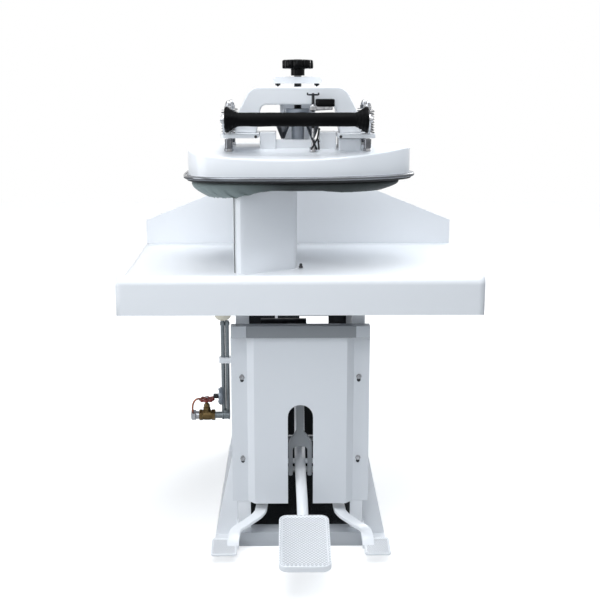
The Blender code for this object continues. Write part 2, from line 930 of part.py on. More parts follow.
def front_cover():
    """The hat-shaped cover hangs on the front flanges by four screws in keyholes."""
    back = frame_front - gap
    face = back - cover_sheet
    proud = face - cover_proud
    path = [(-cover_half, face), (-cover_fold, face), (-cover_face_half, proud),
            (cover_face_half, proud), (cover_fold, face), (cover_half, face)]
    cover = piece("front_cover", slab("XY", [folded(path, cover_sheet)], cover_low, cover_high), white_paint)
    arch = [(slot_half * math.cos(math.pi * i / 12), slot_top - slot_half + slot_half * math.sin(math.pi * i / 12))
            for i in range(13)]
    arch += [(-slot_half, cover_low - overrun), (slot_half, cover_low - overrun)]
    cut(cover, slab("XZ", [arch], proud - overrun, back + overrun))
    for side in (-1, 1):
        for z in bolt_zs:
            half = keyhole_height / 2 - keyhole_half
            keyhole = obround((side * bolt_x, z - half), (side * bolt_x, z + half), keyhole_half, keyhole_half, 6)
            cut(cover, slab("XZ", [keyhole], proud - overrun, back + overrun))


def front_top_rail():
    """A channel across the frame just above the cover."""
    profile = channel(top_rail_front, frame_front - gap, top_rail_low, top_rail_high, rail_plate)
    piece("front_top_rail", slab("YZ", [profile], -top_rail_half, top_rail_half), white_paint)


def deck_path():
    """Side view of the table's top face, from the hem under the apron to the back."""
    centre = (apron_front + nose_radius, nose_top - nose_radius)
    nose = [(centre[0] + nose_radius * math.cos(math.radians(a)), centre[1] + nose_radius * math.sin(math.radians(a)))
            for a in nose_turns]
    hem = [(apron_front + apron_hem, apron_low), (apron_front, apron_low)]
    lip = [(deck_lip_y, deck_lip_z), (deck_dip_y, deck_dip_z)]
    back = [(deck_middle_y, deck_middle_z), (deck_back_y, deck_back_z)]
    return hem + nose + lip + back


def deck_under(y):
    """Height of the deck's underside at a distance from the front."""
    path = deck_path()[-4:]
    for (y0, z0), (y1, z1) in zip(path, path[1:]):
        if y <= y1:
            break
    return z0 + (z1 - z0) * (y - y0) / (y1 - y0) - table_sheet_thickness


def table():
    """The folded sheet table with box rails welded under it, and the tall back panel."""
    path = deck_path()
    profile = folded(path, -table_sheet_thickness)
    deck = piece("table_sheet", slab("YZ", [profile], -table_half, table_half), white_paint)
    cut(deck, slab("XY", [neck_outline(neck_hole_clearance)], apron_low, nose_top + overrun))
    for y in (front_table_rail_y, rear_table_rail_y):
        near, far = y, y + table_rail_width
        high = min(deck_under(near), deck_under(far)) + table_sheet_thickness / 2
        ring = rectangle(near, far, frame_top + gap, high)
        hollow = rectangle(near + table_rail_plate, far - table_rail_plate,
                           frame_top + gap + table_rail_plate, high - table_rail_plate)
        fuse(deck, slab("YZ", [ring, hollow], -table_rail_half, table_rail_half))
    near = deck_back_y + gap
    outline = [(-table_half, panel_low), (table_half, panel_low), (table_half, panel_end_high),
               (panel_high_half, panel_high), (-panel_high_half, panel_high), (-table_half, panel_end_high)]
    panel = piece("rear_panel", slab("XZ", [outline], near, near + panel_sheet), white_paint)
    foot = box((-table_half, near + panel_sheet / 2, panel_low),
               (table_half, near + panel_hem, panel_low + panel_sheet))
    fuse(panel, foot)


def neck_outline(grow=0):
    """Plan of the oblique neck column, grown or shrunk square to its sides."""
    corners = [Vector(corner) for corner in neck_corners]
    moved = []
    for i, corner in enumerate(corners):
        before = (corner - corners[i - 1]).normalized()
        after = (corners[(i + 1) % len(corners)] - corner).normalized()
        outward = (Vector((before.y, -before.x)) + Vector((after.y, -after.x))).normalized()
        moved.append(tuple(corner + outward * (grow / outward.dot(Vector((after.y, -after.x))))))
    return rounded(moved, neck_corner_radius + grow)


def neck():
    """The column stands on a flanged plate across the frames and carries the buck."""
    inner = frame_half - frame_plate - gap
    low = frame_top + gap
    high = low + neck_plate_thickness
    plate = piece("neck_plate", box((-frame_half - neck_plate_overhang, neck_plate_front, low),
                                    (frame_half, neck_plate_back, high)), white_paint)
    for y in (neck_plate_front, neck_plate_back - neck_plate_thickness):
        fuse(plate, box((-inner, y, low - neck_plate_flange), (inner, y + neck_plate_thickness, low + overrun / 2)))
    walls = [neck_outline(), neck_outline(-neck_wall)]
    return piece("neck_column", slab("XY", walls, high + gap, neck_top), white_paint)


def plan_point(turn, grow=0, left=0, right=0, half=0):
    """A point of the head's plan at a turn, with its ends and sides drawn in by given lengths."""
    c, s = math.cos(turn), math.sin(turn)
    power = head_right_power if c > 0 else head_left_power
    reach = head_right_reach - right + grow if c > 0 else head_left_reach - left + grow
    across = math.copysign(abs(c) ** (2 / power), c)
    away = math.copysign(abs(s) ** (2 / power), s)
    width = head_left_half + (head_right_half - head_left_half) * (across + 1) / 2
    return (head_widest_x + reach * across, head_centre_y + (width - half + grow) * away)


def plan_ring(z, grow=0, height=None, **inset):
    """A ring of the head's plan at a height, or at the height that a rule gives."""
    ring = []
    for i in range(plan_steps):
        x, y = plan_point(2 * math.pi * (i + 0.5) / plan_steps, grow, **inset)
        ring.append((x, y, z if height is None else height(x, y)))
    return ring


def buck_ring(z, end=0, side=0, height=None):
    """A ring of the buck's plan, drawn in at its ends and its sides."""
    return plan_ring(z, height=height, left=buck_left_inset + end, right=buck_right_inset + end,
                     half=buck_half_inset + side)


def hem_height(x, y):
    """Height of the pad's hem, which hangs lower round the neck than towards the free end."""
    share = min(1, max(0, (pad_hem_right_x - x) / (pad_hem_right_x - pad_hem_left_x)))
    return pad_hem_z - pad_hem_drop * share * share * (3 - 2 * share)


def gathered(ring):
    """Pull a ring of the pad in and out where the cloth is gathered."""
    pulled = []
    for i, (x, y, z) in enumerate(ring):
        pull = pad_gather * math.cos(2 * math.pi * pad_gathers * i / plan_steps)
        way = Vector((x - head_widest_x, y - head_centre_y)).normalized()
        pulled.append((x + way.x * pull, y + way.y * pull, z))
    return pulled


def buck(column):
    """The cast bed, whose chest sits in the neck's top, and the cloth pad drawn down over its edge."""
    hull = [buck_ring(chest_low, chest_inset, chest_inset), buck_ring(bed_low, chest_end_inset, chest_side_inset)]
    edge = [buck_ring(bed_low, bed_end_inset, bed_side_inset), buck_ring(bed_high, bed_end_inset, bed_side_inset)]
    piece("buck_bed", loft(hull + edge), cast_metal)
    saddle = [[(x, y, z - gap) for x, y, z in ring] for ring in hull]
    saddle.append([(x, y, bed_high) for x, y, z in hull[-1]])
    cut(column, loft(saddle))

    inner_end, inner_side = bed_end_inset - pad_fit, bed_side_inset - pad_fit
    rings = [buck_ring(bed_high + gap, inner_end, inner_side),
             buck_ring(0, inner_end, inner_side, hem_height),
             buck_ring(0, pad_hem_end_inset, pad_hem_side_inset, hem_height)]
    for share in pad_side_shares:
        drawn = 1 - share
        ring = buck_ring(0, pad_hem_end_inset * drawn * drawn, pad_hem_side_inset * drawn * drawn,
                         lambda x, y, s=share: hem_height(x, y) + (pad_swell_z - hem_height(x, y)) * s)
        rings.append(gathered(ring))
    rings += [buck_ring(pad_swell_z), buck_ring(pad_edge_z, pad_edge_inset, pad_edge_inset),
              buck_ring(pad_high, pad_top_inset, pad_top_inset)]
    piece("buck_pad", loft(rings), grey_cloth)


def cover_height(x, y):
    """Height of the head cover's top face, which dips towards the front middle."""
    across = min(1, abs(x - cover_dip_x) / cover_dip_half)
    share = math.cos(math.pi * across / 2) ** cover_dip_power
    front = min(1, max(0, (head_centre_y - y) / head_left_half))
    return cover_crown - cover_dip * share * front * front * (3 - 2 * front)


def cover_skin(inward, downward, edge_shares):
    """Rings of the cover's outer skin, or of its inner skin when moved inward and downward."""
    rings = [plan_ring(sole_high + gap, -inward)]
    for draw_share, drop_share in edge_shares:
        drop = cover_edge_radius * drop_share + downward
        rings.append(plan_ring(0, -inward - cover_edge_radius * draw_share,
                               lambda x, y, d=drop: cover_height(x, y) - d))
    for share in cover_ring_shares:
        ring = []
        for x, y, z in rings[-1]:
            x, y = x + (head_widest_x - x) * share, y + (head_centre_y - y) * share
            ring.append((x, y, cover_height(x, y) - downward))
        rings.append(ring)
    return rings


def head():
    """The shoe tray, the platen in it and the cover over the platen."""
    shoulder = sole_low + sole_slant_height
    foot = sole_proud - sole_slant
    tray = [plan_ring(sole_low, foot), plan_ring(shoulder, sole_proud), plan_ring(sole_high, sole_proud),
            plan_ring(sole_high, sole_proud - sole_wall), plan_ring(shoulder, sole_proud - sole_wall),
            plan_ring(sole_low + sole_floor, foot)]
    piece("sole_plate", loft(tray), sole_steel)
    inner = -cover_wall_sheet * 2
    platen = [plan_ring(sole_low + sole_floor + gap, foot - sole_fit),
              plan_ring(shoulder, sole_proud - sole_wall - sole_fit),
              plan_ring(sole_high, sole_proud - sole_wall - sole_fit),
              plan_ring(sole_high, inner), plan_ring(platen_high - platen_draw, inner - platen_draw / 2),
              plan_ring(platen_high, inner - platen_top_draw)]
    piece("head_platen", loft(platen), cast_metal)
    lining = cover_skin(cover_wall_sheet, cover_wall_sheet, cover_lining_shares)
    cover = piece("head_cover", loft(lining[::-1] + cover_skin(0, 0, cover_edge_shares)), white_paint)
    cut(cover, rod((head_x, head_centre_y, platen_high), (head_x, head_centre_y, column_high),
                   column_radius + cover_wall_sheet, 24))
    for x, y in post_places():
        cut(cover, rod((x, y, platen_high), (x, y, ear_high), post_radius + cover_wall_sheet))


def post_places():
    return [(head_x + side * post_offset, y) for side in (-1, 1) for y in post_ys]


def column_and_posts():
    """The column takes the pressure screw; the sprung posts hang the head from the ears."""
    foot = platen_high + gap
    hole = bore(screw_radius + running_gap, 16)
    height = column_high - foot
    profile = [(0, height - column_bore_depth), (hole, height - column_bore_depth), (hole, height),
               (column_radius, height), (column_radius, flange_high - foot), (flange_radius, flange_high - foot),
               (flange_radius, flange_low - foot), (column_radius, flange_low - foot),
               (column_radius, column_foot_height), (column_foot_radius, column_foot_height),
               (column_foot_radius, 0), (0, 0)]
    column = piece("pressure_column", turned(profile, (head_x, head_centre_y, foot), sides=16), cast_metal)
    for x in (head_x - cone_offset, head_x + cone_offset):
        fuse(column, rod((x, head_centre_y, (flange_low + flange_high) / 2), (x, head_centre_y, cone_low),
                         cone_radius, 12, cone_tip_radius))
    nut = spring_top + gap + post_washer_height
    dome = cap_nut_height - cap_nut_hex_height
    for name, (x, y) in zip(post_names, post_places()):
        profile = [(cap_nut_radius * out, nut + cap_nut_hex_height + dome * up) for out, up in cap_nut_dome_shares]
        profile += [(cap_nut_radius, nut + cap_nut_hex_height),
                    (cap_nut_radius, nut), (post_washer_radius, nut), (post_washer_radius, spring_top + gap),
                    (post_radius, spring_top + gap), (post_radius, post_collar_high),
                    (post_collar_radius, post_collar_high), (post_collar_radius, post_collar_low),
                    (post_radius, post_collar_low), (post_radius, foot), (0, foot)]
        piece("spring_post_" + name, turned(profile, (x, y, 0), sides=10), bright_steel)
        piece("head_spring_" + name, coil((x, y), ear_high + gap + spring_wire, spring_top - spring_wire,
                                          spring_coil, spring_wire, spring_curls), bright_steel)


def coil(centre, low, high, radius, wire, curls):
    """A round helical spring standing on Z."""
    count = curl_points * curls
    route = []
    for i in range(count + 1):
        turn = 2 * math.pi * i / curl_points
        route.append((centre[0] + radius * math.cos(turn), centre[1] + radius * math.sin(turn),
                      low + (high - low) * i / count))
    pitch = (high - low) / curls
    print("spring gap between curls in mm:", round((pitch - 2 * wire) * 1000, 2))
    return sweep(route, wire, 1)


def yoke():
    """The welded head arm: arch, two cheeks, top strip, hub tube, tail and spring lugs."""
    x = head_x
    outer = [(x - arch_foot_half, ear_high + gap), (x + arch_foot_half, ear_high + gap),
             (x + arch_shoulder_half, arch_shoulder), (x + arch_top_half, arch_top),
             (x - arch_top_half, arch_top), (x - arch_shoulder_half, arch_shoulder)]
    inner = [(x - arch_inner_foot_half, ear_high - overrun), (x + arch_inner_foot_half, ear_high - overrun),
             (x + arch_inner_half, arch_inner_top), (x - arch_inner_half, arch_inner_top)]
    outline = rounded(outer, [0, 0, arch_round, arch_round, arch_round, arch_round])
    arm = piece("head_arm", slab("XZ", [outline], arch_front, arch_back), white_paint)
    opening = rounded(inner, [0, 0, arch_inner_round, arch_inner_round])
    cut(arm, slab("XZ", [opening], arch_front - overrun, arch_back + overrun))
    pivot_y, pivot_z = arm_pivot
    tail_z = pivot_z - crank_length
    top = arch_top - arm_top_drop
    cheek = rounded([(arm_start, top), (arm_bend_y, top), (arm_back_y, arm_back_top),
                     (arm_back_y, pivot_z), (pivot_y + tail_radius, tail_z),
                     (pivot_y + tail_radius / 2, tail_z - tail_radius), (pivot_y - tail_radius / 2, tail_z - tail_radius),
                     (pivot_y - tail_radius, tail_z), (arm_inner_y, pivot_z), (arm_inner_y, arm_inner_z),
                     (arm_bend_y - arm_depth / 2, top - arm_depth), (arm_start + arm_depth, top - arm_depth),
                     (arm_start, arch_inner_top + arm_start_low_inset)],
                    [0, arm_bend_round, arm_bend_round, 0, 0, tail_corner, tail_corner, 0, 0,
                     arm_bend_round, arm_bend_round, arm_depth, 0])
    outer_face = arm_half
    for side in (-1, 1):
        x0, x1 = sorted((x + side * outer_face, x + side * (outer_face - arm_plate)))
        fuse(arm, slab("YZ", [cheek], x0, x1))
    strip_path = rounded([(arm_start, top), (arm_bend_y, top), (arm_back_y, arm_back_top), (arm_back_y, pivot_z)],
                         [0, arm_bend_round, arm_bend_round, 0])
    strip = folded(beside(strip_path, -arm_strip_drop), -arm_plate)
    reach = arm_half - arm_plate / 2
    fuse(arm, slab("YZ", [strip], x - reach, x + reach))
    fuse(arm, rod((-hub_half, pivot_y, pivot_z), (hub_half, pivot_y, pivot_z), hub_radius, 16))
    for side in (-1, 1):
        x0, x1 = sorted((side * (lug_x - lug_plate / 2), side * (lug_x + lug_plate / 2)))
        lug = obround(arm_pivot, (pivot_y + lug_reach, pivot_z + lug_rise), hub_radius, lug_radius, 4)
        fuse(arm, slab("YZ", [lug], x0, x1))
        tip = (pivot_y + lug_reach, pivot_z + lug_rise)
        fuse(arm, rod((side * lug_x, *tip), (side * (lug_x + lug_pin_length), *tip), lug_pin_radius, 8))
    cut(arm, cross_bore(arm_pivot, arm_shaft_radius, hub_half + overrun, 16))
    cut(arm, cross_bore((pivot_y, tail_z), crank_pin_radius, arm_half + lug_x))
    cut(arm, rod((x, head_centre_y, arch_inner_top - overrun), (x, head_centre_y, arch_top + overrun),
                 bore(screw_radius + running_gap, 16), 16))

    for name, side in (("ear_left", -1), ("ear_right", 1)):
        x0, x1 = sorted((x + side * ear_inner, x + side * ear_outer))
        outline = rounded(rectangle(x0, x1, ear_front, ear_back), ear_corner)
        holes = [circle(x + side * post_offset, hole_y, bore(post_radius + running_gap)) for hole_y in post_ys]
        piece(name, slab("XY", [outline] + holes, ear_low, ear_high), white_paint)


def counter_springs():
    """Extension springs from the crossbar up to the arm's rear lugs."""
    pivot_y, pivot_z = arm_pivot
    y, high = pivot_y + lug_reach, pivot_z + lug_rise
    front = frame_back + gap
    middle = (crossbar_low + crossbar_high) / 2
    profile = channel(front, front + crossbar_depth, crossbar_low, crossbar_high, crossbar_plate)
    bar = piece("spring_crossbar", slab("YZ", [profile], -frame_half, frame_half), white_paint)
    for name, side in (("counter_spring_left", -1), ("counter_spring_right", 1)):
        x0, x1 = sorted((side * (lug_x - lug_plate / 2), side * (lug_x + lug_plate / 2)))
        eye = obround((y, middle), (y, counter_bottom), lug_radius / 2, lug_radius / 2 + lug_pin_radius, 4)
        fuse(bar, slab("YZ", [eye], x0, x1))
        fuse(bar, rod((side * lug_x, y, counter_bottom), (side * (lug_x + lug_pin_length), y, counter_bottom),
                      lug_pin_radius, 8))
        x = side * (lug_x + lug_plate / 2 + running_gap * 2 + counter_wire + lug_pin_radius / 2)
        seat = bore(lug_pin_radius + gap + counter_wire, 8)
        route = hook(x, y, counter_bottom, seat, 1)
        low, top = counter_bottom + counter_lead, high - counter_lead
        count = curl_points * counter_curls
        for i in range(count + 1):
            turn = 2 * math.pi * i / curl_points
            route.append((x + counter_coil * math.sin(turn), y + counter_coil * math.cos(turn),
                          low + (top - low) * i / count))
        route += list(reversed(hook(x, y, high, seat, -1)))
        print("counter spring gap between curls in mm:",
              round(((top - low) / counter_curls - 2 * counter_wire) * 1000, 2))
        piece(name, sweep(route, counter_wire, 1), bright_steel)


def hook(x, y, z, radius, up):
    """Points of a spring's end hook round a cross pin, ending on the way to the coil."""
    turns = [math.radians(a) for a in hook_turns]
    return [(x, y + radius * math.cos(t), z + up * radius * math.sin(t)) for t in turns] + [
        (x, y, z + up * counter_lead * hook_lead_share)]


def pressure_screw():
    """Bridge plate on two pointed studs, the pressure screw and its scalloped knob."""
    y = head_centre_y
    outline = [(bridge_left, bridge_low), (bridge_right, bridge_low),
               (bridge_right, bridge_high - bridge_chamfer), (bridge_right - bridge_chamfer, bridge_high),
               (bridge_left + bridge_chamfer, bridge_high), (bridge_left, bridge_high - bridge_chamfer)]
    near, far = y - bridge_depth / 2, y + bridge_depth / 2
    plate = piece("bridge_plate", slab("XZ", [outline], near, far), white_paint)
    cut(plate, rod((head_x, y, bridge_low - overrun), (head_x, y, bridge_high + overrun),
                   bore(screw_radius + running_gap, 16), 16))
    for x in (bridge_left + stud_inset, bridge_right - stud_inset):
        fuse(plate, rod((x, y, bridge_low + bridge_chamfer), (x, y, bridge_low - stud_shank), stud_radius, 12))
        fuse(plate, rod((x, y, bridge_low - stud_shank), (x, y, arch_top + gap), stud_radius, 12, stud_tip_radius))
    low = column_high - screw_depth
    piece("pressure_screw", rod((head_x, y, low), (head_x, y, knob_low - gap), screw_radius, 16), black_steel)

    def ring(z, radius, lobe):
        return [(head_x + (radius + lobe * math.cos(knob_lobes * t)) * math.cos(t),
                 y + (radius + lobe * math.cos(knob_lobes * t)) * math.sin(t), z)
                for t in (2 * math.pi * i / knob_steps for i in range(knob_steps))]

    rings = [ring(knob_low, knob_hub_radius, 0), ring(knob_wheel_low, knob_hub_radius, 0),
             ring(knob_wheel_low, knob_wheel_radius - knob_edge, knob_lobe),
             ring(knob_wheel_low + knob_edge, knob_wheel_radius, knob_lobe),
             ring(knob_wheel_high - knob_edge, knob_wheel_radius, knob_lobe),
             ring(knob_wheel_high, knob_wheel_radius - knob_edge, knob_lobe),
             ring(knob_dome, knob_hub_radius, 0)]
    piece("pressure_knob", loft(rings), black_plastic)


def handle():
    """A steel bar on two lugs that stand on the ears, with a flared grip."""
    seat = ear_high + gap
    overhang = lug_bar_thickness
    left, right = handle_left - gap - overhang, handle_right + gap + overhang
    bar = piece("handle_bracket", rod((left - overhang, handle_y, handle_z), (right + overhang, handle_y, handle_z),
                                      handle_bar_radius), bright_steel)
    foot = ear_front + handle_lug_radius
    lug = [(ear_front, seat), (foot, seat), (foot, seat + overhang)]
    arc = [(handle_y + handle_lug_radius * math.cos(math.radians(a)),
            handle_z + handle_lug_radius * math.sin(math.radians(a))) for a in handle_lug_turns]
    for start in (left, right - overhang):
        fuse(bar, slab("YZ", [lug + arc], start, start + overhang))
    length = handle_right - handle_left
    hole = bore(handle_bar_radius + gap)
    half = [(grip_flare * out, grip_flare_length * along) for out, along in grip_flare_shares]
    half.append((grip_radius, grip_flare_length))
    profile = [(radius, length - h) for radius, h in half] + [(radius, h) for radius, h in reversed(half)]
    profile = [(hole, length)] + profile + [(hole, 0), (hole, length)]
    grip = turned(profile, (handle_left, handle_y, handle_z), (1, 0, 0), 16)
    piece("handle_grip", grip, black_plastic)


def hand_valve():
    """The small steam valve on the head cover, with its cranked stem and grip."""
    x, y = hand_valve_x, hand_valve_y
    low = cover_height(x, y) + gap
    high = hand_valve_high
    profile = [(0, high), (hand_valve_barrel, high), (hand_valve_barrel, low + hand_valve_base),
               (hand_valve_base, low + hand_valve_base), (hand_valve_base, low + hand_valve_base * hand_valve_seat_share), (0, low)]
    piece("head_steam_valve", turned(profile, (x, y, 0), sides=12), bright_steel)
    lever = piece("steam_lever", rod((x, y, high + gap), (x, y, stem_high), stem_radius, 12), bright_steel)
    fuse(lever, rod((x - prong_half, y, stem_high - prong_radius * 2), (x + prong_half, y, stem_high - prong_radius * 2),
                    prong_radius, 8))
    fuse(lever, box((lever_left, y - lever_depth / 2, lever_low), (lever_right, y + lever_depth / 2, lever_high)))
    near, far = y - hand_grip_depth / 2, y + hand_grip_depth / 2
    ends = rounded(rectangle(hand_grip_left + stem_radius * 2, hand_grip_right, near, far), hand_grip_depth / 2)
    piece("steam_lever_grip", slab("XY", [ends], lever_high + gap, hand_grip_high), black_plastic)


def front_end(angle_from_rest=0):
    """The pin at the rocker's front end, in side view."""
    turn = math.radians(180 + rocker_rest_angle + angle_from_rest)
    return (rocker_pivot[0] + rocker_front_arm * math.cos(turn), rocker_pivot[1] + rocker_front_arm * math.sin(turn))


def plate_height(y):
    """Height of the pedal plate's tread at a distance from the front."""
    return plate_front_z + (plate_back_z - plate_front_z) * (y - plate_front) / (plate_back - plate_front)


def main_pedal():
    """The bent lever on its shaft, with the tread plate bolted on its front end."""
    fork_y = front_end()[0]
    under = plate_thickness + running_gap + lever_radius
    y, z = pedal_pivot
    mid = plate_front + (plate_back - plate_front) * lever_plate_share
    points = [(lever_offset, mid, plate_height(mid) - under),
              (lever_offset, plate_back + lever_neck_start, plate_height(plate_back) - under),
              (lever_offset, plate_back + lever_neck_end, plate_back_z),
              (0, fork_y, fork_pin_z), (0, (fork_y + y) / 2, fork_pin_z + (z - fork_pin_z) * lever_route_share),
              (0, y, z)]
    lever = piece("pedal_lever", sweep(smooth_route(points, 3), lever_radius, 3), white_paint)
    fuse(lever, rod((-lever_hub_half, y, z), (lever_hub_half, y, z), lever_hub_radius, 16))
    fuse(lever, rod((-fork_half - eye_half, fork_y, fork_pin_z), (fork_half + eye_half, fork_y, fork_pin_z),
                    crank_pin_radius))
    cut(lever, cross_bore(pedal_pivot, pedal_shaft_radius, lever_hub_half + overrun, 16))
    piece("pedal_plate", tread(plate_x, plate_half, (plate_front, plate_front_z), (plate_back, plate_back_z),
                               plate_thickness, plate_corner, plate_border, plate_recess), white_paint)


def tread(centre, half, front, back, thickness, corner, border, recess):
    """A rounded foot plate with a raised border, sloping up from front to back."""
    length = math.dist(front, back)
    slope = math.atan2(back[1] - front[1], back[0] - front[0])
    edge = rounded(rectangle(-half, half, 0, length), corner)
    inside = rounded(rectangle(border - half, half - border, border, length - border), corner - border / 2)
    rings = [[(u, v, w) for u, v in outline] for outline, w in
             ((edge, -thickness), (edge, 0), (inside, 0), (inside, -recess))]
    shape = loft(rings)
    shape.transform(Matrix.Translation((centre, *front)) @ Matrix.Rotation(slope, 4, "X"))
    return shape


def linkage():
    """Fork rod, rocker and push rod between the pedal lever and the arm's tail."""
    end_y, end_z = front_end()
    inner = fork_half - fork_prong
    outline = rounded([(-fork_half, fork_low), (-inner, fork_low), (-inner, fork_inner_top), (inner, fork_inner_top),
                       (inner, fork_low), (fork_half, fork_low), (fork_half, fork_crown),
                       (fork_stem_half, fork_stem_start), (fork_stem_half, end_z - fork_neck),
                       (-fork_stem_half, end_z - fork_neck), (-fork_stem_half, fork_stem_start),
                       (-fork_half, fork_crown)],
                      [fork_toe_round, fork_toe_round, inner / 2, inner / 2, fork_toe_round, fork_toe_round,
                       fork_shoulder_round, fork_waist_round, 0, 0, fork_waist_round, fork_shoulder_round])
    near, far = end_y - fork_depth / 2, end_y + fork_depth / 2
    rod_piece = piece("fork_rod", slab("XZ", [outline], near, far), white_paint)
    eye = obround((end_y, end_z - fork_neck - eye_half), (end_y, end_z), fork_depth / 2, eye_radius)
    fuse(rod_piece, slab("YZ", [eye], -eye_half, eye_half))
    pin = rocker_cheek_inner + rocker_cheek + gap
    fuse(rod_piece, rod((-pin, end_y, end_z), (pin, end_y, end_z), crank_pin_radius))
    cut(rod_piece, cross_bore((end_y, fork_pin_z), crank_pin_radius, fork_half + overrun))

    y, z = rocker_pivot
    rocker = piece("rocker", rod((rocker_hub_left, y, z), (rocker_hub_right, y, z), rocker_hub_radius, 16), black_steel)
    facing = Vector((end_y - y, end_z - z)).normalized()
    tip = (end_y, end_z)
    slot_start = Vector(rocker_pivot) + facing * rocker_slot_start
    slot_end = Vector(rocker_pivot) + facing * rocker_slot_end
    slot = obround(slot_start, slot_end, rocker_slot_half, rocker_slot_half)
    for side in (-1, 1):
        x0, x1 = sorted((side * rocker_cheek_inner, side * (rocker_cheek_inner + rocker_cheek)))
        cheek = obround(rocker_pivot, tip, rocker_hub_radius * rocker_join_share, rocker_end_radius)
        fuse(rocker, slab("YZ", [cheek], x0, x1))
    low_end = (y, z - crank_length)
    arm = obround(rocker_pivot, low_end, rocker_hub_radius * rocker_join_share, rocker_arm_radius)
    fuse(rocker, slab("YZ", [arm], rocker_arm_x - rocker_arm_half, rocker_arm_x + rocker_arm_half))
    reach = rocker_cheek_inner + rocker_cheek + overrun
    cut(rocker, slab("YZ", [slot], -reach, reach))
    cut(rocker, cross_bore(rocker_pivot, rocker_shaft_radius, -rocker_hub_left + overrun, 16))
    cut(rocker, slab("YZ", [circle(*low_end, bore(crank_pin_radius + running_gap))],
                     rocker_arm_x - rocker_arm_half - overrun, rocker_arm_x + rocker_arm_half + overrun))

    tail = (arm_pivot[0], arm_pivot[1] - crank_length)
    shank = eyed_bar(low_end, tail, push_rod_eye, push_rod_half)
    bar = piece("push_rod", slab("YZ", [shank], push_rod_left, push_rod_right), bright_steel)
    middle = (push_rod_left + push_rod_right) / 2
    for place, end in ((low_end, rocker_arm_x - rocker_arm_half - gap), (tail, head_x - arm_half + arm_plate + gap)):
        fuse(bar, rod((middle, *place), (end, *place), crank_pin_radius))


def flat_bar(route, width, thickness):
    """A flat bar along a route, level across its width and square to its way in plan."""
    rings = []
    lift = Vector((0, 0, thickness / 2))
    for i, place in enumerate(route):
        ahead = route[min(i + 1, len(route) - 1)] - route[max(i - 1, 0)]
        side = Vector((ahead.y, -ahead.x, 0)).normalized() * (width / 2)
        rings.append([place - side - lift, place + side - lift, place + side + lift, place - side + lift])
    return loft(rings)


def side_pedals():
    """The steam pedal on the left and the vacuum pedal on the right."""
    y, z = side_pedal_pivot
    for name, side in (("steam_pedal", -1), ("vacuum_pedal", 1)):
        x = side * side_pedal_x
        route = smooth_route([(x + side * out, away, up) for out, away, up in side_bar_route], 3)
        pedal = piece(name, flat_bar(route, side_bar_width, side_bar_thickness), white_paint)
        fuse(pedal, rod((x - side_hub_half, y, z), (x + side_hub_half, y, z), side_hub_radius, 16))
        fuse(pedal, tread(x + side * side_pad_offset, side_pad_half, (side_pad_front, side_pad_front_z),
                          (side_pad_back, side_pad_back_z), side_pad_thickness, side_pad_corner,
                          side_pad_border, side_pad_recess))
        cut(pedal, slab("YZ", [circle(y, z, bore(side_shaft_radius + running_gap, 16), 16)],
                        x - side_hub_half - overrun, x + side_hub_half + overrun))


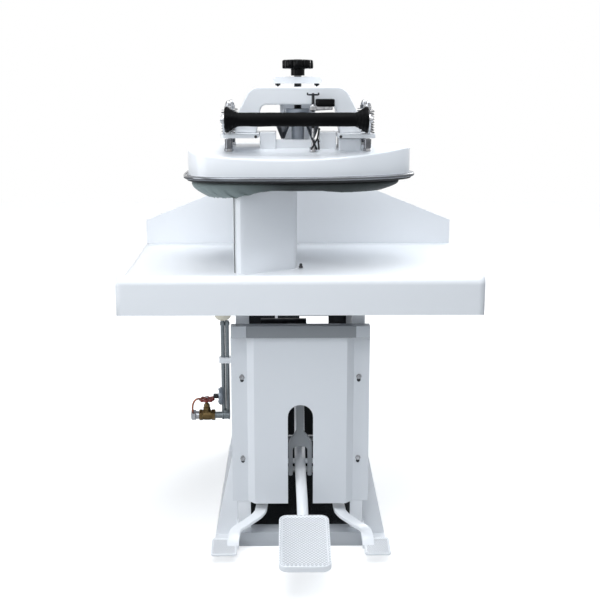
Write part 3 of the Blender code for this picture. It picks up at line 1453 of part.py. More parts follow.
def pipework():
    """The steam separator pot, its pipes and the stop valve, trap and fittings at their foot."""
    y = pipe_y
    profile = [(0, separator_high), (separator_radius, separator_high)]
    profile += [(separator_radius * out, separator_low + separator_radius * up) for out, up in separator_dish_shares]
    piece("steam_separator", turned(profile, (separator_x, y, 0), sides=20), cream_paint)
    middle = (riser_x + drain_x) / 2
    tee_top = pipe_line_z + tee_height
    pipes = piece("steam_pipes", rod((nipple_left + gap, y, pipe_line_z), (middle, y, pipe_line_z), pipe_radius), pipe_steel)
    fuse(pipes, rod((middle - tee_half, y, pipe_line_z), (middle + tee_half, y, pipe_line_z), tee_radius),
         rod((middle, y, pipe_line_z), (middle, y, tee_top), tee_half),
         rod((riser_x, y, pipe_line_z), (riser_x, y, separator_low - gap), riser_radius, 12),
         rod((drain_x, y, pipe_line_z), (drain_x, y, separator_low - gap), drain_radius, 12))
    body = piece("stop_valve", rod((valve_left, y, pipe_line_z), (nipple_left, y, pipe_line_z), valve_radius),
                 brass_metal)
    for start in (valve_left, nipple_left - valve_end_length):
        fuse(body, rod((start, y, pipe_line_z), (start + valve_end_length, y, pipe_line_z), valve_end_radius, 6))
    fuse(body, rod((bonnet_x, y, pipe_line_z), (bonnet_x, y, bonnet_low), valve_neck_radius),
         rod((union_left + valve_end_length, y, pipe_line_z), (valve_left + valve_end_length / 2, y, pipe_line_z),
             union_neck_radius),
         rod((union_left, y, pipe_line_z), (union_left + union_nut_length, y, pipe_line_z), union_radius, 6))
    seat = bonnet_low + gap
    piece("valve_bonnet", turned([(0, wheel_low - gap), (valve_stem_radius, wheel_low - gap), (valve_stem_radius, bonnet_high),
                                  (bonnet_top_radius, bonnet_high), (bonnet_radius, (seat + bonnet_high) / 2),
                                  (bonnet_radius, seat), (0, seat)], (bonnet_x, y, 0), sides=12), brass_metal)
    rim_z = wheel_low + wheel_height / 2
    rim = [(bonnet_x + u, y + v, rim_z) for u, v in circle(0, 0, wheel_radius - wheel_rim, 20)]
    wheel = piece("valve_wheel", rod((bonnet_x, y, wheel_low), (bonnet_x, y, wheel_low + wheel_height), wheel_hub, 12),
                  red_paint)
    fuse(wheel, sweep(rim, wheel_rim, 1, True))
    for i in range(wheel_spokes):
        turn = 2 * math.pi * i / wheel_spokes
        way = (math.cos(turn), math.sin(turn))
        inner, outer = wheel_hub * wheel_spoke_start_share, wheel_radius - wheel_rim
        fuse(wheel, rod((bonnet_x + way[0] * inner, y + way[1] * inner, rim_z),
                        (bonnet_x + way[0] * outer, y + way[1] * outer, rim_z), wheel_spoke_half, 6))
    start_x = riser_x - riser_radius - gap
    profile = [(0, trap_width + trap_nut_width), (trap_nut_radius, trap_width + trap_nut_width),
               (trap_nut_radius, trap_width)]
    profile += [(trap_radius * out, trap_width * along) for out, along in trap_edge_shares] + [(0, 0)]
    piece("steam_trap", turned(profile, (start_x, y, trap_z), (-1, 0, 0), 16), cast_metal)
    web = -frame_half - gap
    left = riser_x - riser_radius - clamp_wrap
    near, far = y - clamp_depth / 2, y + clamp_depth / 2
    plan = rounded(rectangle(left, web, near, far), [clamp_wrap, 0, 0, clamp_wrap])
    holes = [circle(riser_x, y, bore(riser_radius + gap, 12), 12), circle(drain_x, y, bore(drain_radius + gap, 12), 12)]
    piece("pipe_clamp", slab("XY", [plan] + holes, clamp_low, clamp_high), white_paint)


base_rails()
base_pan()
feet()
side_frames()
shafts()
front_cover()
front_top_rail()
table()
buck(neck())
head()
column_and_posts()
yoke()
counter_springs()
pressure_screw()
handle()
hand_valve()
main_pedal()
linkage()
side_pedals()
pipework()
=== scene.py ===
import math

import bmesh
import bpy
from mathutils import Matrix, Vector, noise


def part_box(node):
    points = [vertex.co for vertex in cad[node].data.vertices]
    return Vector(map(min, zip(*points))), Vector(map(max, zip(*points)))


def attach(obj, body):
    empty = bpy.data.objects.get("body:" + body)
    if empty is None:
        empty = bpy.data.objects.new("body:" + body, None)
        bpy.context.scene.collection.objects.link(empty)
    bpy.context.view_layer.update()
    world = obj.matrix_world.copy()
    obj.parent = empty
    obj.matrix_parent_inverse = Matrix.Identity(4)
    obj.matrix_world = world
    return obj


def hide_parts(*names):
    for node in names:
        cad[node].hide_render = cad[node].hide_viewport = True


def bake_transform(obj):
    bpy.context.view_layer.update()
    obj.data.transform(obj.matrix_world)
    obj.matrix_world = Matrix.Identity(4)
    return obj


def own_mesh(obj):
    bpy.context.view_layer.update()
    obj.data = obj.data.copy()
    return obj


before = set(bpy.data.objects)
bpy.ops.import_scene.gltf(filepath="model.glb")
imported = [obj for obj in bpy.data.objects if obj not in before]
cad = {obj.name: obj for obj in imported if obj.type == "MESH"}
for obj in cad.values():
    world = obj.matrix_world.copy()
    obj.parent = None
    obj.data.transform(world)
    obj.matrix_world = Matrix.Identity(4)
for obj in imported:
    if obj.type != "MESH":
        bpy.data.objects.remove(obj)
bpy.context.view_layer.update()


# The room is a plain pale studio. The camera stands in front of the press at chest height and
# looks slightly down, as the photograph does, and large soft lamps light it from above.
def placed(name, data):
    """A new object in the scene."""
    made = bpy.data.objects.new(name, data)
    bpy.context.scene.collection.objects.link(made)
    return made


def wire(tree, kind, values=(), **settings):
    """Add a shader node to a tree, set its settings, and set or link each named or numbered input."""
    made = tree.nodes.new("ShaderNode" + kind)
    for name, value in settings.items():
        setattr(made, name, value)
    for name, value in dict(values).items():
        if isinstance(value, bpy.types.NodeSocket):
            tree.links.new(value, made.inputs[name])
        else:
            made.inputs[name].default_value = value
    return made


def compute(tree, operation, *inputs):
    """What a math node makes of its inputs."""
    return wire(tree, "Math", enumerate(inputs), operation=operation).outputs[0]


def remap(tree, value, low, high, to_low=0.0, to_high=1.0, smooth="LINEAR"):
    """A value carried over from one range to another."""
    ends = {"Value": value, "From Min": low, "From Max": high, "To Min": to_low, "To Max": to_high}
    return wire(tree, "MapRange", ends, interpolation_type=smooth).outputs[0]


def blank_finish(name):
    """A new material, its node tree and its Principled shader."""
    finish = bpy.data.materials.new(name)
    finish.use_nodes = True
    return finish, finish.node_tree, finish.node_tree.nodes["Principled BSDF"]


def oblong(left, right, low, high):
    """The four corners of an oblong."""
    return [(left, low), (right, low), (right, high), (left, high)]


camera = placed("camera", bpy.data.cameras.new("camera"))
camera.location = (-0.037, -2.933, 1.4035)
camera.rotation_euler = (math.radians(77.8), 0, math.radians(-0.7))
camera.data.lens = 61
bpy.context.scene.camera = camera
bpy.context.scene.view_settings.view_transform = "Standard"

for name, place, aim, side, power, colour in (
        ("lamp_above", (-0.4, -1.2, 4.4), (0, 0.2, 0.8), 3.0, 104, (0.98, 0.99, 1)),
        ("lamp_top", (0.3, 0.3, 4.4), (0, 0.3, 0.8), 3.0, 58, (0.9, 0.95, 1)),
        ("lamp_front", (-1.0, -2.2, 2.2), (0, 0.2, 1.25), 1.4, 14, (0.85, 0.93, 1)),
        ("lamp_left", (-3.0, -0.9, 1.5), (0, 0.1, 0.8), 1.8, 31, (0.98, 0.99, 1)),
        ("lamp_right", (1.8, 0.0, 3.0), (0.2, 0.2, 0.8), 1.4, 18, (0.85, 0.93, 1)),
        ("lamp_behind", (1.6, 2.6, 2.4), (0, 0.4, 0.9), 1.6, 36, (1, 1, 1))):
    lamp = bpy.data.lights.new(name, "AREA")
    lamp.size, lamp.energy, lamp.color = side, power, colour
    holder = placed(name, lamp)
    holder.location = place
    holder.rotation_euler = (Vector(place) - Vector(aim)).to_track_quat("Z", "Y").to_euler()

world = bpy.data.worlds.new("studio")
world.use_nodes = True
bpy.context.scene.world = world
sky = world.node_tree
sky.nodes.clear()
rays = wire(sky, "LightPath").outputs
seen = compute(sky, "MAXIMUM", rays["Is Camera Ray"], rays["Is Glossy Ray"])
seen = compute(sky, "MAXIMUM", seen, rays["Is Transmission Ray"])
fill = wire(sky, "Background", {"Color": (0.72, 0.86, 1, 1), "Strength": 0.12})
backdrop = wire(sky, "Background", {"Color": (1, 1, 1, 1), "Strength": 1.0})
both = wire(sky, "MixShader", {0: seen, 1: fill.outputs[0], 2: backdrop.outputs[0]})
wire(sky, "OutputWorld", {"Surface": both.outputs[0]})

floor_half = 9
floor_mesh = bpy.data.meshes.new("floor")
floor_corners = oblong(-floor_half, floor_half, -floor_half, floor_half)
floor_mesh.from_pydata([(x, y, 0) for x, y in floor_corners], [], [(0, 1, 2, 3)])
floor = placed("floor", floor_mesh)
floor_paint, tree, skin = blank_finish("floor")
floor_mesh.materials.append(floor_paint)
floor_look = {"Base Color": (0.8, 0.8, 0.8, 1), "Roughness": 0.9, "Emission Color": (1, 1, 1, 1)}
for label, value in floor_look.items():
    skin.inputs[label].default_value = value
spot = wire(tree, "TexCoord").outputs["Object"]
from_middle = wire(tree, "VectorMath", {0: spot}, operation="LENGTH").outputs["Value"]
seen = wire(tree, "LightPath").outputs["Is Camera Ray"]
glow = compute(tree, "MULTIPLY", seen, remap(tree, from_middle, 1.0, 4.0, 0.46, 0.84))
tree.links.new(glow, skin.inputs["Emission Strength"])


# The base, the side frames and the rear panel are folded steel plate, welded together, in a pale
# grey-white stove enamel. The paint is slightly rippled, and it thins and greys along the edges.
def effect(name, takes, gives):
    """An empty shader node group, what it is given, and the inputs for what it gives."""
    group = bpy.data.node_groups.new(name, "ShaderNodeTree")
    for label, kind, start in takes:
        group.interface.new_socket(label, in_out="INPUT", socket_type=kind).default_value = start
    for label in gives:
        group.interface.new_socket(label, in_out="OUTPUT", socket_type="NodeSocketFloat")
    return group, group.nodes.new("NodeGroupInput").outputs, group.nodes.new("NodeGroupOutput").inputs


number = "NodeSocketFloat"
# The edge mask marks worn edges; where the edge colour is lighter, as on dark and metal finishes, it is
# also a painted edge highlight.
edge_wear, given, result = effect(
    "edge_wear", [("Reach", number, 0.002), ("Patches", number, 45.0), ("Amount", number, 1.0)], ["Mask"])
rounded_normal = wire(edge_wear, "Bevel", {"Radius": given["Reach"]}, samples=4).outputs[0]
true_normal = wire(edge_wear, "NewGeometry").outputs["Normal"]
turned_away = wire(edge_wear, "VectorMath", {0: rounded_normal, 1: true_normal}, operation="DOT_PRODUCT")
edge = remap(edge_wear, turned_away.outputs["Value"], 0.995, 0.8)
spot = wire(edge_wear, "TexCoord").outputs["Object"]
patches = wire(edge_wear, "TexNoise", {"Vector": spot, "Scale": given["Patches"], "Detail": 4.0})
worn_and_lit = compute(edge_wear, "MULTIPLY", edge, remap(edge_wear, patches.outputs["Fac"], 0.42, 0.68))
edge_wear.links.new(compute(edge_wear, "MULTIPLY", worn_and_lit, given["Amount"]), result["Mask"])

unevenness, given, result = effect(
    "unevenness",
    [("Fine", number, 300.0), ("Broad", number, 5.0), ("Stretch", "NodeSocketVector", (1, 1, 1))],
    ["Height", "Tone"])
spot = wire(unevenness, "TexCoord").outputs["Object"]
pulled = wire(unevenness, "VectorMath", {0: spot, 1: given["Stretch"]}, operation="MULTIPLY").outputs[0]
for scale, detail, gives in (("Fine", 3.0, "Height"), ("Broad", 5.0, "Tone")):
    clouds = wire(unevenness, "TexNoise", {"Vector": pulled, "Scale": given[scale], "Detail": detail})
    unevenness.links.new(clouds.outputs["Fac"], result[gives])


def colour_mix(tree, share, first, second):
    """The colour socket of a mix from a first colour to a second."""
    return wire(tree, "Mix", {0: share, 6: first, 7: second}, data_type="RGBA").outputs[2]


def surface(name, slot, colour, roughness, other, edge_colour, fine=300.0, broad=5.0, stretch=(1, 1, 1),
            relief=0.0001, wear=0.5, reach=0.001, spread=0.08, **fixed):
    """A finish whose colour, gloss and relief vary over the surface, with another colour along its edges:
    worn paint, and on dark and metal finishes also a painted edge highlight.
    """
    finish, tree, skin = blank_finish(name)
    uneven = wire(tree, "Group", {"Fine": fine, "Broad": broad, "Stretch": stretch},
                  node_tree=unevenness).outputs
    worn_and_lit_edges = wire(tree, "Group", {"Reach": reach, "Amount": wear}, node_tree=edge_wear).outputs
    base = colour_mix(tree, uneven["Tone"], (*colour, 1), (*other, 1))
    tree.links.new(colour_mix(tree, worn_and_lit_edges["Mask"], base, (*edge_colour, 1)), skin.inputs["Base Color"])
    gloss = remap(tree, uneven["Tone"], 0.3, 0.7, roughness - spread, roughness + spread)
    tree.links.new(gloss, skin.inputs["Roughness"])
    bumps = wire(tree, "Bump", {"Height": uneven["Height"], "Strength": 0.6, "Distance": relief})
    tree.links.new(bumps.outputs[0], skin.inputs["Normal"])
    for label, value in fixed.items():
        skin.inputs[label.replace("_", " ").title().replace("Ior", "IOR")].default_value = value
    return finish


pale_coat = dict(fine=260.0, broad=3.0, relief=0.00002, wear=0.45, spread=0.05, coat_weight=0.25,
                 coat_roughness=0.12)
grey_coat = dict(fine=260.0, broad=6.0, relief=0.00006, spread=0.06)
pale_worn, grey_worn = (0.62, 0.64, 0.67), (0.62, 0.63, 0.65)
white_enamel = surface("white_enamel", "white_paint", (0.875, 0.892, 0.92), 0.34, (0.855, 0.874, 0.905),
                       pale_worn, **pale_coat)
# The rails' grey enamel is the frame's white, darkened as painted shade.
rail_painted_shade = surface("rail_painted_shade", "white_paint", (0.52, 0.545, 0.58), 0.14, (0.46, 0.485, 0.52),
                      grey_worn, coat_weight=0.5, coat_roughness=0.06, **grey_coat)


def dress(names, finish, width=0.0012):
    """Give CAD nodes their finish, and round their edges for the light to catch."""
    for name in names.split():
        shown = cad[name]
        if "custom_normal" in shown.data.attributes:
            shown.data.attributes.remove(shown.data.attributes["custom_normal"])
        shown.data.shade_smooth()
        shown.data.materials.clear()
        shown.data.materials.append(finish)
        weld = shown.modifiers.new("weld", "WELD")
        weld.merge_threshold = 0.00001
        bevel = shown.modifiers.new("edges", "BEVEL")
        bevel.width, bevel.segments = width, 2
        bevel.limit_method, bevel.angle_limit = "ANGLE", math.radians(32)
        shown.modifiers.new("flats", "WEIGHTED_NORMAL")


dress("side_frame_left side_frame_right foot_left foot_right", white_enamel, 0.0016)
dress("front_rail rear_rail", rail_painted_shade, 0.003)
dress("rear_panel", white_enamel, 0.0006)

# The floor pan is a flat steel sheet that lies between the two rails of the base. It is painted in
# a dark gloss, with a film of dust on it.
pan_paint = surface("pan_paint", "black_steel", (0.016, 0.017, 0.02), 0.2, (0.034, 0.036, 0.04),
                    (0.1, 0.1, 0.1), fine=120.0, broad=9.0, reach=0.002, spread=0.06, coat_weight=0.2,
                    coat_roughness=0.1)
dress("base_pan", pan_paint, 0.0008)

# Four ground steel shafts cross the frame in its bearing bosses. Their ends show outside it, and
# each is held there by an open spring clip in a groove.
bright_steel = surface("bright_steel", "bright_steel", (0.55, 0.56, 0.58), 0.2, (0.44, 0.45, 0.47),
                       (0.75, 0.75, 0.76), fine=500.0, broad=14.0, relief=0.00003, wear=0.4, spread=0.06,
                       metallic=1.0)
ground_steel = surface("ground_steel", "bright_steel", (0.5, 0.51, 0.53), 0.37, (0.4, 0.41, 0.42),
                       (0.68, 0.68, 0.68), fine=240.0, broad=20.0, stretch=(0.1, 1, 1), relief=0.00003,
                       wear=0.3, metallic=1.0)
shafts = "arm_shaft rocker_shaft pedal_shaft side_pedal_shaft"
dress(shafts, ground_steel)


def extent(name):
    """A CAD node's lowest corner, highest corner and middle."""
    low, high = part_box(name)
    return low, high, [(first + last) / 2 for first, last in zip(low, high)]


def around(count, first=0.0):
    """Even angles round one full turn; the first is a share of a step."""
    return [2 * math.pi * (i + first) / count for i in range(count)]


def polar(u, v, radius, angle):
    """The point that lies at an angle and a distance from a middle."""
    return u + radius * math.cos(angle), v + radius * math.sin(angle)


def circle(u, v, radius, sides=32, start=0.0):
    """Points round a circle, or the corners of a nut."""
    return [polar(u, v, radius, start + t) for t in around(sides)]


def arc(u, v, radius, angles):
    """Points on an arc, at angles in degrees."""
    return [polar(u, v, radius, math.radians(angle)) for angle in angles]


def loft(rings, closed=True):
    """A skin through rings of equally many points, with a flat face over its first and last ring."""
    shape = bmesh.new()
    rows = [[shape.verts.new(point) for point in ring] for ring in rings]
    count = len(rows[0])
    for lower, upper in zip(rows, rows[1:]):
        for i in range(count):
            shape.faces.new((lower[i], lower[(i + 1) % count], upper[(i + 1) % count], upper[i]))
    if closed:
        shape.faces.new(rows[0])
        shape.faces.new(rows[-1])
    bmesh.ops.recalc_face_normals(shape, faces=shape.faces)
    return shape


def tube(route, radius, sides=14, ring=False):
    """A round bar along a route; its radius may change from point to point."""
    places = [Vector(point) for point in route]
    count = len(places)
    radii = radius if isinstance(radius, list) else [radius] * count
    side = None
    rings = []
    for i, (spot, wide) in enumerate(zip(places, radii)):
        before = places[i - 1] if ring or i > 0 else spot
        after = places[(i + 1) % count] if ring or i < count - 1 else spot
        along = (after - before).normalized()
        if side is None:
            side = along.orthogonal().normalized()
        side = (side - along * side.dot(along)).normalized()
        across = along.cross(side)
        rings.append([spot + (side * u + across * v) * wide for u, v in circle(0, 0, 1, sides)])
    return loft(rings + [rings[0]], False) if ring else loft(rings)


def joined(shapes):
    """Several shapes as one."""
    whole = bmesh.new()
    for shape in shapes:
        mesh = bpy.data.meshes.new("part")
        shape.to_mesh(mesh)
        shape.free()
        whole.from_mesh(mesh)
        bpy.data.meshes.remove(mesh)
    bmesh.ops.remove_doubles(whole, verts=whole.verts, dist=0.000001)
    bmesh.ops.recalc_face_normals(whole, faces=whole.faces)
    return whole


def piece(name, shape, finish, body, replaces="", width=0, turn=32, flat=False):
    """Put a shape on the press: what it rides on, which CAD nodes it stands for, how its edges are kept."""
    mesh = bpy.data.meshes.new(name)
    shape.to_mesh(mesh)
    shape.free()
    mesh.shade_smooth()
    mesh.set_sharp_from_angle(angle=math.radians(turn))
    mesh.materials.append(finish)
    made = placed(name, mesh)
    if width:
        bevel = made.modifiers.new("edges", "BEVEL")
        bevel.width, bevel.segments = width, 2
        bevel.limit_method, bevel.angle_limit = "ANGLE", math.radians(turn)
    if width or flat:
        made.modifiers.new("flats", "WEIGHTED_NORMAL")
    if body:
        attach(made, body)
    if replaces:
        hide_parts(*replaces.split())
    return made


clips, clip_inset = [], 0.985
clip_turns = [20 + 320 * i / 30 for i in range(31)]
for name in shafts.split():
    low, high, (_, y, z) = extent(name)
    clip_radius = (high.z - low.z) / 2 + 0.0006
    for end in (low.x, high.x):
        route = [(end * clip_inset, u, v) for u, v in arc(y, z, clip_radius, clip_turns)]
        clips.append(tube(route, 0.0011, 8))
piece("shaft_clips", joined(clips), ground_steel, "frame")

# A thin black steel sheet closes the back of the frame; its black is painted shade for the frame's inside.
# It is cut flat, with a square notch in its top edge, and is fixed between the side frames.
black_painted_shade = surface("black_painted_shade", "black_steel", (0.022, 0.024, 0.027), 0.45, (0.034, 0.036, 0.04),
                      (0.06, 0.06, 0.06), fine=200.0, broad=9.0, reach=0.0008, specular_ior_level=0.25)
sheet_outline = [(-0.185, 0.047), (-0.185, 0.545), (0.007, 0.545), (0.007, 0.49), (0.1175, 0.49),
                 (0.1175, 0.545), (0.185, 0.545), (0.185, 0.047)]
rear_sheet = loft([[Vector((x, y, z)) for x, z in sheet_outline] for y in (0.8435, 0.845)])
piece("rear_sheet", rear_sheet, black_painted_shade, "frame")


# The front top rail is folded plate, and carries the front of the table. Its dark grey enamel is
# painted shade under the table. A paler end piece is welded over each of its ends.
def block(low, high):
    """A rectangular block between two corners."""
    shape = bmesh.new()
    bmesh.ops.create_cube(shape, size=1)
    low, high = Vector(low), Vector(high)
    shape.transform(Matrix.Translation((low + high) / 2) @ Matrix.Diagonal((*(high - low), 1)))
    return shape


carrier_painted_shade = surface("carrier_painted_shade", "white_paint", (0.26, 0.275, 0.295), 0.2, (0.21, 0.225, 0.24),
                         grey_worn, coat_weight=0.4, coat_roughness=0.08, **grey_coat)
dress("front_top_rail", carrier_painted_shade)
rail_low, rail_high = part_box("front_top_rail")
end_near, end_far, end_low = rail_low.y - 0.0014, rail_low.y + 0.0004, rail_low.z + 0.001
rail_ends = [block((first, end_near, end_low), (last, end_far, rail_high.z))
             for first, last in ((rail_low.x + 0.0004, -0.16), (0.164, rail_high.x - 0.0004))]
piece("rail_ends", joined(rail_ends), rail_painted_shade, "frame", width=0.0005)


# A flat bar ties the side frames together at the back. Two round eyes are welded under it, each
# with a pin that holds the lower hook of a rear spring.
def turned(profile, base, direction=(0, 0, 1), sides=32, closed=True):
    """A profile of (radius, height) pairs turned about an axis through a base point."""
    turn = Vector(direction).to_track_quat("Z", "Y").to_matrix()
    return loft([[Vector(base) + turn @ Vector((u, v, height)) for u, v in circle(0, 0, radius, sides)]
                 for radius, height in profile], closed)


spring_x, spring_y, eye_z, eye_half = 0.11, 0.888, 0.56, 0.005
bar_low, bar_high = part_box("spring_crossbar")
tie = [block((bar_low.x, bar_low.y, 0.522), (bar_high.x, bar_high.y, 0.53))]
eye = [(0.879, 0.5225), (0.897, 0.5225)] + circle(spring_y, eye_z, 0.015, 28, math.radians(-40))[:21]
for side in (-1, 1):
    x = side * spring_x
    tie.append(loft([[Vector((end, y, z)) for y, z in eye] for end in (x - eye_half, x + eye_half)]))
    pin = [(0.006, 0), (0.006, 0.0245), (0.005, 0.026)]
    tie.append(turned(pin, (x, spring_y, eye_z), (side, 0, 0), 20))
piece("spring_tie", joined(tie), white_enamel, "frame", "spring_crossbar", width=0.001, turn=40)

# The front cover is a thin folded sheet, greyed a little as painted shade. Four plated pan-head screws
# with washers hold it by its keyholes, so that it lifts off, and black blocks behind paint their shade.
cover_painted_shade = surface("cover_painted_shade", "white_paint", (0.765, 0.79, 0.825), 0.34, (0.745, 0.77, 0.81),
                       pale_worn, **pale_coat)
dress("front_cover", cover_painted_shade, 0.0006)
# The plated steel is mottled from bright to near black in broad patches, as painted reflections.
polished_painted_reflections = surface("polished_painted_reflections", "bright_steel", (0.62, 0.63, 0.65), 0.14, (0.07, 0.07, 0.08),
                   (0.8, 0.8, 0.8), fine=400.0, broad=150.0, relief=0.00002, wear=0.4, spread=0.05,
                   metallic=1.0)
keyhole_x, keyhole_heights = 0.1755, {"low": 0.2713, "high": 0.5285}
keyhole_half_width, keyhole_half_height = 0.007, 0.0135
cover_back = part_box("front_cover")[1].y


def cross_screw(base, radius):
    """A washer and a domed head with a crosswise recess, facing the operator."""
    head_height = radius * 0.75
    profile = [(radius * 1.35, 0), (radius * 1.35, radius * 0.22), (radius, radius * 0.24),
               (radius, head_height * 0.6), (radius * 0.86, head_height * 0.9),
               (radius * 0.55, head_height), (radius * 0.18, head_height)]
    half_groove, half_arm = radius * 0.07, radius * 0.55
    groove_low, groove_top = head_height * 0.99 - radius * 0.06, head_height * 0.99 + radius * 0.06
    arms = [block((-across, -along, groove_low), (across, along, groove_top))
            for across, along in ((half_groove, half_arm), (half_arm, half_groove))]
    shape = joined([turned(profile, (0, 0, 0), sides=24)] + arms)
    facing = Vector((0, -1, 0)).to_track_quat("Z", "Y").to_matrix().to_4x4()
    shape.transform(Matrix.Translation(base) @ facing)
    return shape


# Black blocks behind the keyholes are painted shade, for the gap behind them.
keyhole_painted_shade = []
for side, label, raised in ((-1, "left", 0.003), (1, "right", 0.005)):
    x = side * keyhole_x
    for height, z in keyhole_heights.items():
        screw = cross_screw((x, cover_back - 0.0024, z + raised), 0.006)
        piece("cover_screw_" + label + "_" + height, screw, polished_painted_reflections, "frame")
        keyhole_painted_shade.append(block(
            (x - keyhole_half_width, cover_back - 0.0001, z - keyhole_half_height),
            (x + keyhole_half_width, cover_back + 0.0004, z + keyhole_half_height)))
piece("keyhole_painted_shade", joined(keyhole_painted_shade), black_painted_shade, "frame")


# The table is one enamelled sheet folded over a bullnose at its front edge, dished a little behind
# it, with two box rails welded under the deck.
def smooth_route(points, steps=8):
    """A smooth curve through route points."""
    places = [Vector(point) for point in points]
    ends = [places[0] * 2 - places[1]] + places + [places[-1] * 2 - places[-2]]
    route = []
    for a, b, c, d in zip(ends, ends[1:], ends[2:], ends[3:]):
        for step in range(steps):
            t = step / steps
            route.append((b * 2 + (c - a) * t + (a * 2 - b * 5 + c * 4 - d) * t * t
                          + (b * 3 - a - c * 3 + d) * t * t * t) / 2)
    return route + [places[-1]]


def sag(x, y):
    """The slight waviness of the deck behind the bullnose."""
    return 0.0006 * noise.noise(Vector((x * 5, y * 6, 0.3))) if y > 0.03 else 0


table_low, table_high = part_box("table_sheet")
sheet_thick, nose_radius, columns = 0.002, 0.025, 64
rail_half, rail_foot, rail_top = 0.46, 0.7853, 0.8265
nose_y, nose_z = table_low.y + nose_radius, table_high.z - nose_radius
profile = [(table_low.y + 0.014, table_low.z), (table_low.y, table_low.z), (table_low.y, nose_z - 0.04)]
profile += arc(nose_y, nose_z, nose_radius, range(180, 54, -6))
deck = [profile[-1], (0.022, 0.834), (0.07, 0.8292), (0.13, 0.827), (0.24, 0.8288), (0.35, 0.8315),
        (table_high.y, 0.842)]
profile += smooth_route(deck, 6)[1:]
table_shape = bmesh.new()
rows = []
for i in range(columns + 1):
    x = table_low.x + (table_high.x - table_low.x) * i / columns
    rows.append([table_shape.verts.new((x, y, z + sag(x, y))) for y, z in profile])
for left, right in zip(rows, rows[1:]):
    for k in range(len(profile) - 1):
        table_shape.faces.new((left[k], right[k], right[k + 1], left[k + 1]))
table = piece("table", table_shape, white_enamel, "frame", "table_sheet")
thick = table.modifiers.new("sheet", "SOLIDIFY")
thick.thickness, thick.offset = sheet_thick, -1
rails = [block((-rail_half, near, rail_foot), (rail_half, near + 0.03, rail_top))
         for near in (0.036, 0.505)]
piece("table_rails", joined(rails), white_enamel, "frame", width=0.002)

# The neck is a folded box column round the pipes to the buck. A narrow seam runs up its left
# corner, where the two folds meet, and a small black plug closes a hole in the deck at its right.
dress("neck_plate", white_enamel, 0.0016)
dress("neck_column", white_enamel)
seam_black = surface("seam_black", "black_plastic", (0.015, 0.015, 0.016), 0.5, (0.03, 0.03, 0.032),
                     (0.05, 0.05, 0.05), reach=0.002)
neck_top, deck_at_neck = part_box("neck_column")[1].z, 0.829
seam_x, seam_y, plug_x, plug_y = -0.1985, 0.118, 0.004, 0.205
seam = [(seam_x, seam_y, z) for z in (deck_at_neck, neck_top - 0.004)]
piece("neck_seam", tube(seam, 0.0011, 8), seam_black, "frame")
plug = [(0.0065, 0.0), (0.0065, 0.004), (0.0045, 0.0065), (0.0045, 0.0115), (0.0025, 0.0135)]
piece("neck_plug", turned(plug, (plug_x, plug_y, deck_at_neck), sides=20), seam_black, "frame")

# The buck is a cast bed under a padded cover of grey-green press cloth, which is drawn down round
# the edge with a cord in its hem and gathers there, most of all round the neck.
cast_iron = surface("cast_iron", "cast_metal", (0.3, 0.31, 0.33), 0.5, (0.22, 0.23, 0.245),
                    (0.42, 0.42, 0.43), fine=420.0, broad=30.0, relief=0.0005, reach=0.002, spread=0.1,
                    metallic=0.9)
dress("buck_bed head_platen", cast_iron, 0.0015)
head_y, head_wide_x = 0.252, -0.03
left_reach, right_reach = 0.31, 0.373
left_half, right_half = 0.204, 0.178
plan_points = 192


def plan_ring(z, out=0.0, left=0.0, right=0.0, half=0.0, height=None):
    """A ring of the head's plan, blunt at its left end and long and rounded at its right."""
    ring = []
    for t in around(plan_points, 0.5):
        c, s = math.cos(t), math.sin(t)
        power, reach = (2.1, right_reach - right) if c > 0 else (4.0, left_reach - left)
        along = math.copysign(abs(c) ** (2 / power), c)
        away = math.copysign(abs(s) ** (2 / power), s)
        wide = left_half + (right_half - left_half) * (along + 1) / 2 - half
        x, y = head_wide_x + (reach + out) * along, head_y + (wide + out) * away
        ring.append(Vector((x, y, z if height is None else height(x, y))))
    return ring


def buck_ring(z, end=0.0, side=0.0, height=None):
    """A ring of the buck's plan, which is the head's drawn in all round."""
    return plan_ring(z, left=0.009 + end, right=0.033 + end, half=0.02 + side, height=height)


def eased(share):
    """A share of the way, held between none and all and slowed at both ends."""
    share = min(1, max(0, share))
    return share * share * (3 - 2 * share)


def hem_height(x, y):
    """The hem hangs lowest round the neck, rises in the middle and drops a little to the free end."""
    return 1.0821 - 0.0215 * eased((-0.08 - x) / 0.135) - 0.008 * eased((x - 0.03) / 0.12)


def hem_ring(end, side, lift):
    """A ring of the buck's plan that follows the hem."""
    return buck_ring(0, end, side, lambda x, y: hem_height(x, y) + lift)


def gather(ring, depth):
    """Pull a ring of cloth in and out in uneven folds, deepest at the neck end."""
    folded = []
    for i, spot in enumerate(ring):
        t = i / len(ring)
        drawn = 0.22 + 0.78 * min(1, max(0, -spot.x / 0.2))
        fold = (math.sin(2 * math.pi * (47 * t + 1.8 * noise.noise(Vector((t * 9, 0, 2.1)))))
                + 0.8 * math.sin(2 * math.pi * (71 * t + 2.6 * noise.noise(Vector((t * 13, 4.0, 0))))))
        way = Vector((spot.x - head_wide_x, (spot.y - head_y) * 1.6, 0)).normalized()
        folded.append(spot + way * (fold * depth * drawn) + Vector((0, 0, fold * depth * drawn * 0.8)))
    return folded


weave, given, result = effect("weave", [("Threads", number, 900.0)], ["Height", "Thread"])
spot = wire(weave, "TexCoord").outputs["Object"]
scaled = wire(weave, "VectorMath", {0: spot, "Scale": given["Threads"]}, operation="SCALE").outputs[0]
apart = wire(weave, "SeparateXYZ", {0: scaled}).outputs
waves = [compute(weave, "SINE", apart[axis]) for axis in "XYZ"]
cross, upright = [compute(weave, "MULTIPLY", waves[0], waves[k]) for k in (1, 2)]
weave.links.new(compute(weave, "MAXIMUM", cross, upright), result["Height"])
slub = wire(weave, "TexNoise", {"Vector": spot, "Scale": 38.0, "Detail": 6.0})
weave.links.new(slub.outputs["Fac"], result["Thread"])


